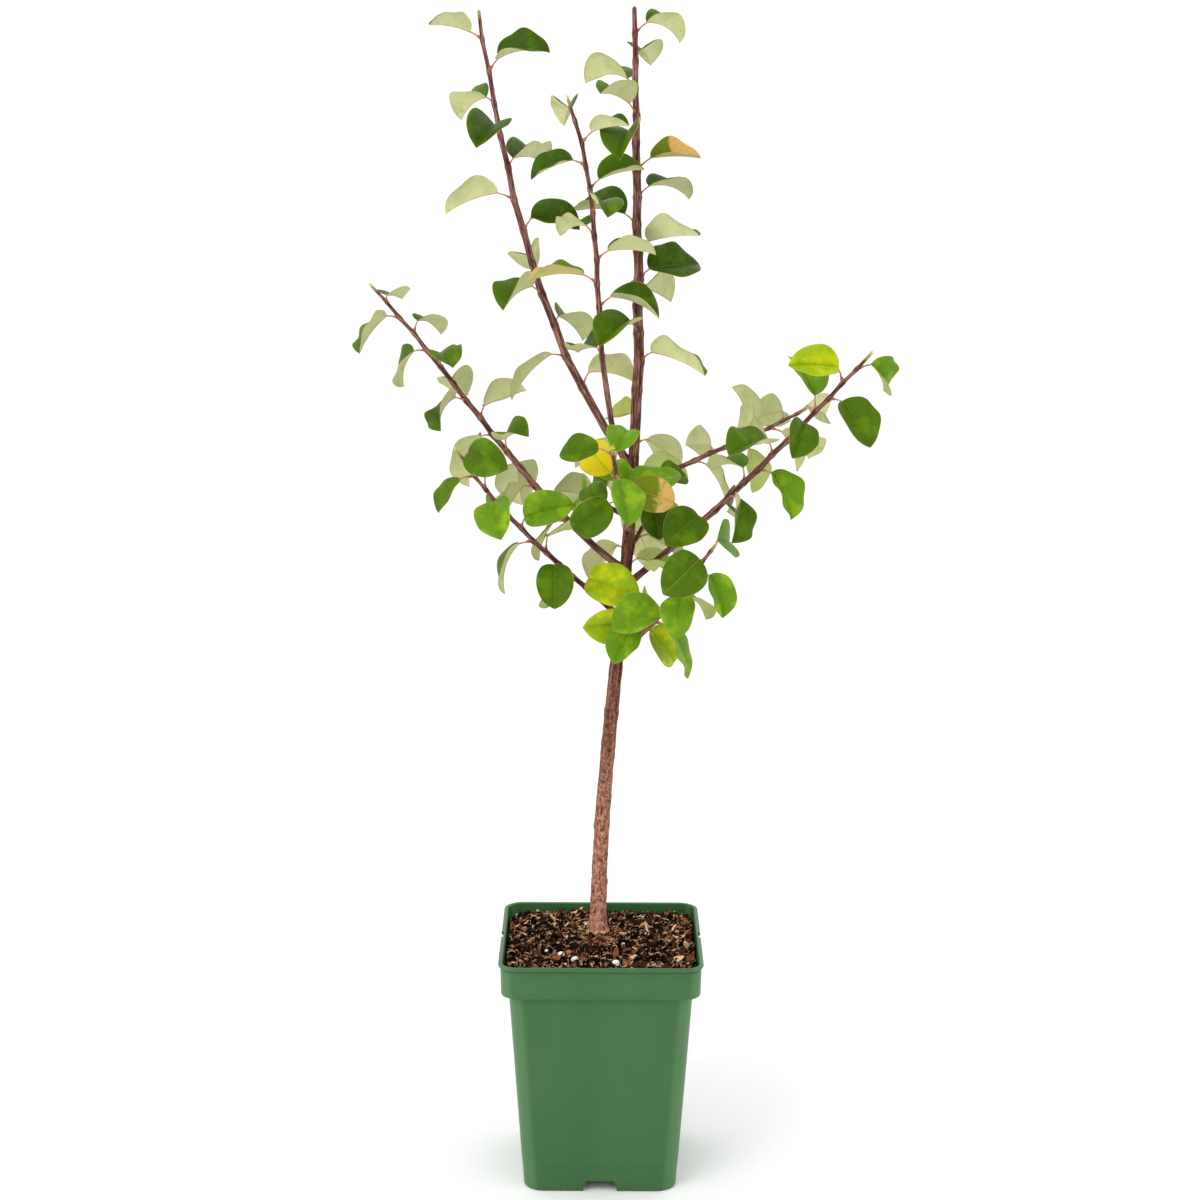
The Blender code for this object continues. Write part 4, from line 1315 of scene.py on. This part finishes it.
def petiole_line(leaf, heading):
    """From under the shoot's bark out to the blade, bowed a little upwards."""
    middle = leaf.foot.lerp(leaf.base, 0.55) + heading * PETIOLE_BOW
    end = leaf.base + leaf.along * PETIOLE_INTO_BLADE
    points = []
    for step in range(PETIOLE_STEPS):
        share = step / (PETIOLE_STEPS - 1)
        points.append(leaf.foot.lerp(middle, share).lerp(middle.lerp(end, share), share))
    return centre_line(points, PETIOLE_RING, 0)


def petiole_radius(share):
    neck = PETIOLE_NECK + (PETIOLE_END - PETIOLE_NECK) * share
    return neck + (PETIOLE_FOOT - PETIOLE_NECK) * math.exp(-(((share - FOOT_PLACE) / FOOT_SPREAD) ** 2))


def bud_points(length, width, place, heading, out, lean):
    """A pointed bud of overlapping scales, leaning out from the shoot."""
    axis = (heading * math.cos(math.radians(lean)) + out * math.sin(math.radians(lean))).normalized()
    side = axis.cross(out).normalized()
    turn = Matrix((side, axis.cross(side), axis)).transposed()
    points = []
    for x, y, z in bud_ball:
        share = z + 0.5
        scale_edge = 1 + 0.10 * math.sin(share * BUD_SCALES + 2 * math.atan2(y, x))
        taper = (1 - 0.55 * share**1.5) * scale_edge
        points.append(place + turn @ Vector((x * width * taper, y * width * taper, share * length)))
    return [tuple(point) for point in points]


bud_ball, bud_faces = unit_shape(
    bpy.ops.mesh.primitive_uv_sphere_add, segments=10, ring_count=8, radius=0.5
)
petioles = Heap()
petiole_places = []
buds = Heap()
for shoot, points, shares in grown:
    for index, leaf in leafage[shoot].items():
        heading = (points[index + 2] - points[index + 1]).normalized()
        line = petiole_line(leaf, heading)
        radii = [petiole_radius(along / line.along[-1]) for along in line.along]
        skin_points, faces, _ = limb_skin(line, radii, PETIOLE_SIDES, lambda spot, turn: 0.0)
        petioles.add(skin_points, faces)
        share = np.repeat(line.along / line.along[-1], PETIOLE_SIDES)
        petiole_places.append(np.stack([share, share, share], axis=1))
        out = (leaf.base - leaf.foot).normalized()
        out = (out - heading * out.dot(heading)).normalized()
        radius = radius_at(shoot, shares[index + 2])
        place = leaf.foot + out * (radius - BUD_SINK) + heading * BUD_ABOVE
        size = chance.uniform(*BUD_SIZES)
        shape_points = bud_points(BUD_LENGTH * size, BUD_WIDTH * size, place, heading, out, BUD_LEAN)
        buds.add(shape_points, bud_faces, 0)
    if shoot.name not in BLUNT_TIPS:
        heading = (points[-1] - points[-2]).normalized()
        place = points[-1] - heading * LEAFLET_SINK
        for turn, (length, lean) in enumerate(zip(LEAFLET_LENGTHS, LEAFLET_LEANS)):
            out = round_the_shoot(heading, shoot.phase + SPIRAL_TURN * turn)
            buds.add(bud_points(length, LEAFLET_WIDTH, place, heading, out, lean), bud_faces, 1)

petiole_finish = Finish("petiole_skin", roughness=0.5, specular=0.25)
reach_out = petiole_finish.node("SeparateXYZ", {"Vector": petiole_finish.attribute("bark")}, output=0)
blush = petiole_finish.noise(petiole_finish.place(), 260, detail=3)
petiole_finish.colour(
    petiole_finish.mix((reach_out * 0.5 + blush - 0.25).between(0.25, 0.80), PETIOLE_RED, PETIOLE_PALE)
)
petiole_finish.bumps(petiole_finish.noise(petiole_finish.place(), 1800, detail=2), 0.0001)
petioles_piece = petioles.piece("petioles", petiole_finish, bark=petiole_places)
smooth_below(petioles_piece, 60)
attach(petioles_piece, "root")


def bud_finish(name, dark, pale):
    finish = Finish(name, roughness=0.7)
    felt = finish.noise(finish.place(), 1100, detail=3, roughness=0.6)
    finish.colour(finish.mix(felt.between(0.40, 0.66), dark, pale))
    finish.bumps(felt, 0.0002)
    return finish


buds_piece = buds.piece(
    "buds", bud_finish("bud_scales", BUD_BROWN, BUD_PALE), bud_finish("leaflet_down", BUD_PALE, LEAFLET_PALE)
)
smooth_below(buds_piece, 50)
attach(buds_piece, "root")


# ---- The leaves ----
# Broad oval blades, leathery and semi-glossy above and felted grey-green below, folded up along a pale
# rib with side veins that curve to the margin. Low leaves are fresher in colour. A few older ones turn
# yellow or scorch to tan.

BLADE_ROWS = 31
BLADE_COLUMNS = (0.07, 0.24, 0.45, 0.67, 0.87, 1.0)
BLADE_THICKNESS = 0.00050
RIB_DEPTH = 0.00075
RIB_WIDTH = 0.0007
BLADE_BASE = 0.0009
TIP_SHARPNESS = 14
FOLD_EASE = 0.35  # how much steeper the fold is at the rib than at the margin
QUILT = 0.00055
VEINS = 7
VEIN_SLANT = 0.62
VEIN_CURVE = 0.75
WAVES = (0.015, 0.055)
WAVE_COUNTS = (1.0, 2.4)
CURL = (-0.02, 0.14)
TWIST = 9.0


class Tint(NamedTuple):
    """A leaf's upper side, the colour that dapples it, and its felted underside."""

    upper: tuple
    dapple: tuple
    felt: tuple


TINTS = {
    "deep": Tint((0.034, 0.078, 0.0008), (0.060, 0.128, 0.0012), (0.600, 0.605, 0.320)),
    "green": Tint((0.060, 0.130, 0.0012), (0.102, 0.205, 0.0025), (0.590, 0.610, 0.300)),
    "fresh": Tint((0.120, 0.265, 0.0080), (0.230, 0.400, 0.0100), (0.480, 0.540, 0.180)),
    "lime": Tint((0.280, 0.420, 0.0080), (0.520, 0.570, 0.0100), (0.520, 0.560, 0.140)),
    "yellow": Tint((0.660, 0.540, 0.0080), (0.340, 0.430, 0.0080), (0.640, 0.580, 0.120)),
    "turning": Tint((0.135, 0.185, 0.0040), (0.640, 0.390, 0.1150), (0.570, 0.500, 0.190)),
}
MARGIN = (0.420, 0.330, 0.110)
RIB_PALE = (0.360, 0.440, 0.060)
RIB_RED = (0.480, 0.160, 0.065)
RIB_TAN = (0.560, 0.450, 0.200)
SCORCH = (0.480, 0.270, 0.080)
# How often each tint comes among the leaves that stand below each height.
TINTS_BELOW = (
    (0.74, {"fresh": 4, "green": 5, "lime": 0.8}),
    (0.92, {"green": 6, "deep": 3, "fresh": 1}),
    (math.inf, {"deep": 5, "green": 2}),
)
# Leaves whose tint stands out, by shoot and node.
MARKED_LEAVES = {
    ("front_bough", 3): "yellow",
    ("front_bough", 2): "turning",
    ("middle_shoot", 3): "turning",
    ("leader", 8): "turning",
    ("right_bough", 10): "lime",
    ("low_left_bough", 0): "lime",
    ("back_bough", 8): "lime",
    ("middle_shoot", 1): "lime",
    **{("low_spur", node): "lime" for node in range(3)},
    ("low_spur", 3): "fresh",
    ("front_bough", 5): "fresh",
    **{("low_right_bough", node): "fresh" for node in range(4)},
}


def tint_of(shoot, index, leaf):
    """A leaf's tint: as marked, or by how high it stands."""
    marked = MARKED_LEAVES.get((shoot.name, index))
    if marked:
        return marked
    shares = next(shares for height, shares in TINTS_BELOW if leaf.foot.z < height)
    return chance.choices(list(shares), shares.values())[0]


def blade_skin(leaf):
    """A blade's two faces and its margin, and at each point its place in the flat leaf.

    The place is the share along, the width from the rib over the leaf's length, and the share across.
    """
    even = np.linspace(0, 1, BLADE_ROWS)
    share = (0.45 * even + 0.55 * (1 - np.cos(np.pi * even)) / 2)[:, None]
    across = np.array([-t for t in reversed(BLADE_COLUMNS)] + [0] + list(BLADE_COLUMNS))[None, :]
    off = np.abs(across)
    half = leaf.length * LEAF_RATIO / 2 * np.sin(np.pi * share**LEAF_SHAPE).clip(0) ** LEAF_ROUNDING
    half = np.maximum(half * (1 - share**TIP_SHARPNESS) ** 0.45, BLADE_BASE * (1 - 0.7 * share))
    bend = leaf.arch * share
    along, side, up = (np.array(way) for way in (leaf.along, leaf.side, leaf.up))
    sweep = leaf.length / leaf.arch
    rib = np.array(leaf.base) + sweep * (np.sin(bend) * along + (np.cos(bend) - 1) * up)
    lifted = np.cos(bend) * up + np.sin(bend) * along
    twist = math.radians(chance.uniform(-TWIST, TWIST)) * share * (1 - share) * 4
    reach = off * half
    fold = leaf.fold * (1 + FOLD_EASE * (1 - off))
    out = np.sign(across) * reach * math.cos(leaf.fold)
    rise = reach * np.sin(fold) - chance.uniform(*CURL) * half * off**4
    for hand in (-1, 1):
        wave = chance.uniform(*WAVES) * leaf.length * np.sin(np.pi * share) ** 0.5
        phase = chance.uniform(0, 2 * math.pi)
        turns = 2 * math.pi * chance.uniform(*WAVE_COUNTS) * share
        rise = rise + np.where(np.sign(across) == hand, wave * off**2 * np.sin(turns + phase), 0)
    width = reach / leaf.length
    vein = (share - VEIN_SLANT * width - VEIN_CURVE * width**2) * VEINS + 0.5 * (across > 0)
    quilt = QUILT * np.abs(np.sin(np.pi * vein)) ** 0.8 * np.sin(np.pi * off.clip(0, 1)) ** 0.6
    rise = rise + quilt * np.sin(np.pi * share) ** 0.5
    turned_out = out * np.cos(twist) - rise * np.sin(twist)
    turned_rise = out * np.sin(twist) + rise * np.cos(twist)
    middle = rib[:, None, :] + turned_out[..., None] * side + turned_rise[..., None] * lifted[:, None, :]
    square = np.cross(np.gradient(middle, axis=0), np.gradient(middle, axis=1))
    square /= np.linalg.norm(square, axis=2, keepdims=True)
    keel = RIB_DEPTH * (1 - 0.75 * share) * np.exp(-((reach / RIB_WIDTH) ** 2))
    half_thick = BLADE_THICKNESS / 2 * (1 - 0.5 * off)
    above = middle + square * (half_thick - 0.3 * keel)[..., None]
    below = middle - square * (half_thick + keel)[..., None]
    place = np.stack(np.broadcast_arrays(share, width * np.sign(across), off), axis=2).reshape(-1, 3)
    return np.concatenate([above.reshape(-1, 3), below.reshape(-1, 3)]), np.concatenate([place, place])


def blade_faces():
    """The faces of a blade and the side that each is on: 0 above, 1 below, 2 round the margin."""
    columns = 2 * len(BLADE_COLUMNS) + 1
    below = BLADE_ROWS * columns
    faces = []
    kinds = []
    for row in range(BLADE_ROWS - 1):
        for column in range(columns - 1):
            a = row * columns + column
            b = a + columns
            for face in ((a, b, b + 1), (a, b + 1, a + 1)):
                faces += [face, tuple(corner + below for corner in reversed(face))]
                kinds += [0, 1]
    left = [row * columns for row in range(BLADE_ROWS)]
    tip = [(BLADE_ROWS - 1) * columns + column for column in range(1, columns)]
    right = [row * columns + columns - 1 for row in range(BLADE_ROWS - 2, -1, -1)]
    base = list(range(columns - 2, 0, -1))
    edge = left + tip + right + base
    for a, b in zip(edge, edge[1:] + edge[:1]):
        faces.append((b, a, a + below, b + below))
        kinds.append(2)
    return faces, kinds


def veined(finish):
    """The flat leaf's masks: how far along it is, its rib, its side veins, the net between and its margin."""
    share, width, off = (
        finish.node("SeparateXYZ", {"Vector": finish.attribute("blade")}, output=axis) for axis in range(3)
    )
    away = abs(width)
    wobble = finish.noise(finish.attribute("blade"), 9, detail=2)
    vein = (share - away * VEIN_SLANT - away * away * VEIN_CURVE + wobble * 0.03) * VEINS
    vein = vein + (width > 0.0) * 0.5
    side_veins = abs(vein.fraction() - 0.5).between(0.45, 0.5) * off.between(1.0, 0.75)
    rib = away.between(0.013, 0.004)
    net = finish.node(
        "TexVoronoi",
        {"Vector": finish.attribute("blade"), "Scale": 26},
        feature="DISTANCE_TO_EDGE",
    ).between(0.10, 0.0)
    margin = off.between(0.965, 0.985)
    return share, rib, side_veins, net, margin


def upper_finish(name, tint):
    """The leathery upper side: dappled green, with pale veins and a thin dry margin."""
    finish = Finish(f"{name}_upper", roughness=0.4, specular=0.08)
    share, rib, side_veins, net, margin = veined(finish)
    clouds = finish.noise(finish.place(), 48, detail=3, roughness=0.55)
    fine = finish.noise(finish.place(), 420, detail=3)
    patch = clouds.between(0.46, 0.68)
    if name == "turning":
        patch = (share + (clouds - 0.5) * 0.9).between(0.46, 0.60)
    green = finish.mix(patch, tint.upper, tint.dapple)
    green = finish.mix(fine.between(0.45, 0.75) * 0.20, green, tuple(0.65 * part for part in tint.upper))
    light = tuple(0.55 * part + 0.45 * pale for part, pale in zip(tint.dapple, RIB_PALE))
    green = finish.mix(net * 0.08 + side_veins * 0.22, green, light)
    green = finish.mix(rib * 0.75, green, light)
    finish.colour(finish.mix(margin * 0.70, green, MARGIN))
    finish.gloss(0.30 + fine * 0.14 + rib * 0.15)
    finish.bumps(1 - side_veins * 0.6 - rib * 0.5 - net * 0.15 + fine * 0.08, 0.0003)
    return finish


def felt_finish(name, tint):
    """The felted underside: pale, soft and matt, faintly veined, with a rib that is red at its foot."""
    finish = Finish(f"{name}_felt", roughness=0.85, specular=0.15)
    share, rib, side_veins, net, margin = veined(finish)
    clouds = finish.noise(finish.place(), 60, detail=4, roughness=0.6)
    fibres = finish.noise(finish.place(), 1500, detail=3, roughness=0.7)
    dull = tuple(factor * part for factor, part in zip((0.76, 0.84, 0.62), tint.felt))
    bright = tuple(min(1.0, 1.15 * part + 0.02) for part in tint.felt)
    felt = finish.mix(clouds.between(0.42, 0.72) * 0.8, tint.felt, dull)
    felt = finish.mix(fibres.between(0.40, 0.70) * 0.25, felt, bright)
    felt = finish.mix(side_veins * 0.30 + net * 0.10, felt, dull)
    rib_colour = finish.mix((share + (clouds - 0.5) * 0.4).between(0.10, 0.60), RIB_RED, RIB_TAN)
    felt = finish.mix(rib * 0.85, felt, rib_colour)
    spots = finish.noise(finish.place(), 95, detail=2).between(0.71, 0.77)
    felt = finish.mix(spots * 0.5, felt, SCORCH)
    finish.colour(finish.mix(margin * 0.6, felt, MARGIN))
    finish.bumps(fibres * 0.2 + side_veins * 0.4 + rib * 0.8 + net * 0.15, 0.0003)
    return finish


leaf_finishes = []
for name, tint in TINTS.items():
    leaf_finishes += [upper_finish(name, tint), felt_finish(name, tint)]
margin_finish = Finish("leaf_margin", roughness=0.7)
margin_noise = margin_finish.noise(margin_finish.place(), 500, detail=3)
margin_finish.colour(margin_finish.mix(margin_noise, MARGIN, SCORCH))
leaf_finishes.append(margin_finish)

one_blade, blade_kinds = blade_faces()
for shoot, leaves in leafage.items():
    foliage = Heap()
    places = []
    for index, leaf in leaves.items():
        skin_points, place = blade_skin(leaf)
        tint = list(TINTS).index(tint_of(shoot, index, leaf))
        slots = [2 * tint + kind if kind < 2 else len(leaf_finishes) - 1 for kind in blade_kinds]
        foliage.add(skin_points, one_blade, slots)
        places.append(place)
    foliage_piece = foliage.piece(f"{shoot.name}_foliage", *leaf_finishes, blade=places)
    smooth_below(foliage_piece, 50)
    bpy.ops.object.material_slot_remove_unused()
    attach(foliage_piece, "root")
    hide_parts(f"{shoot.name}_leaves")
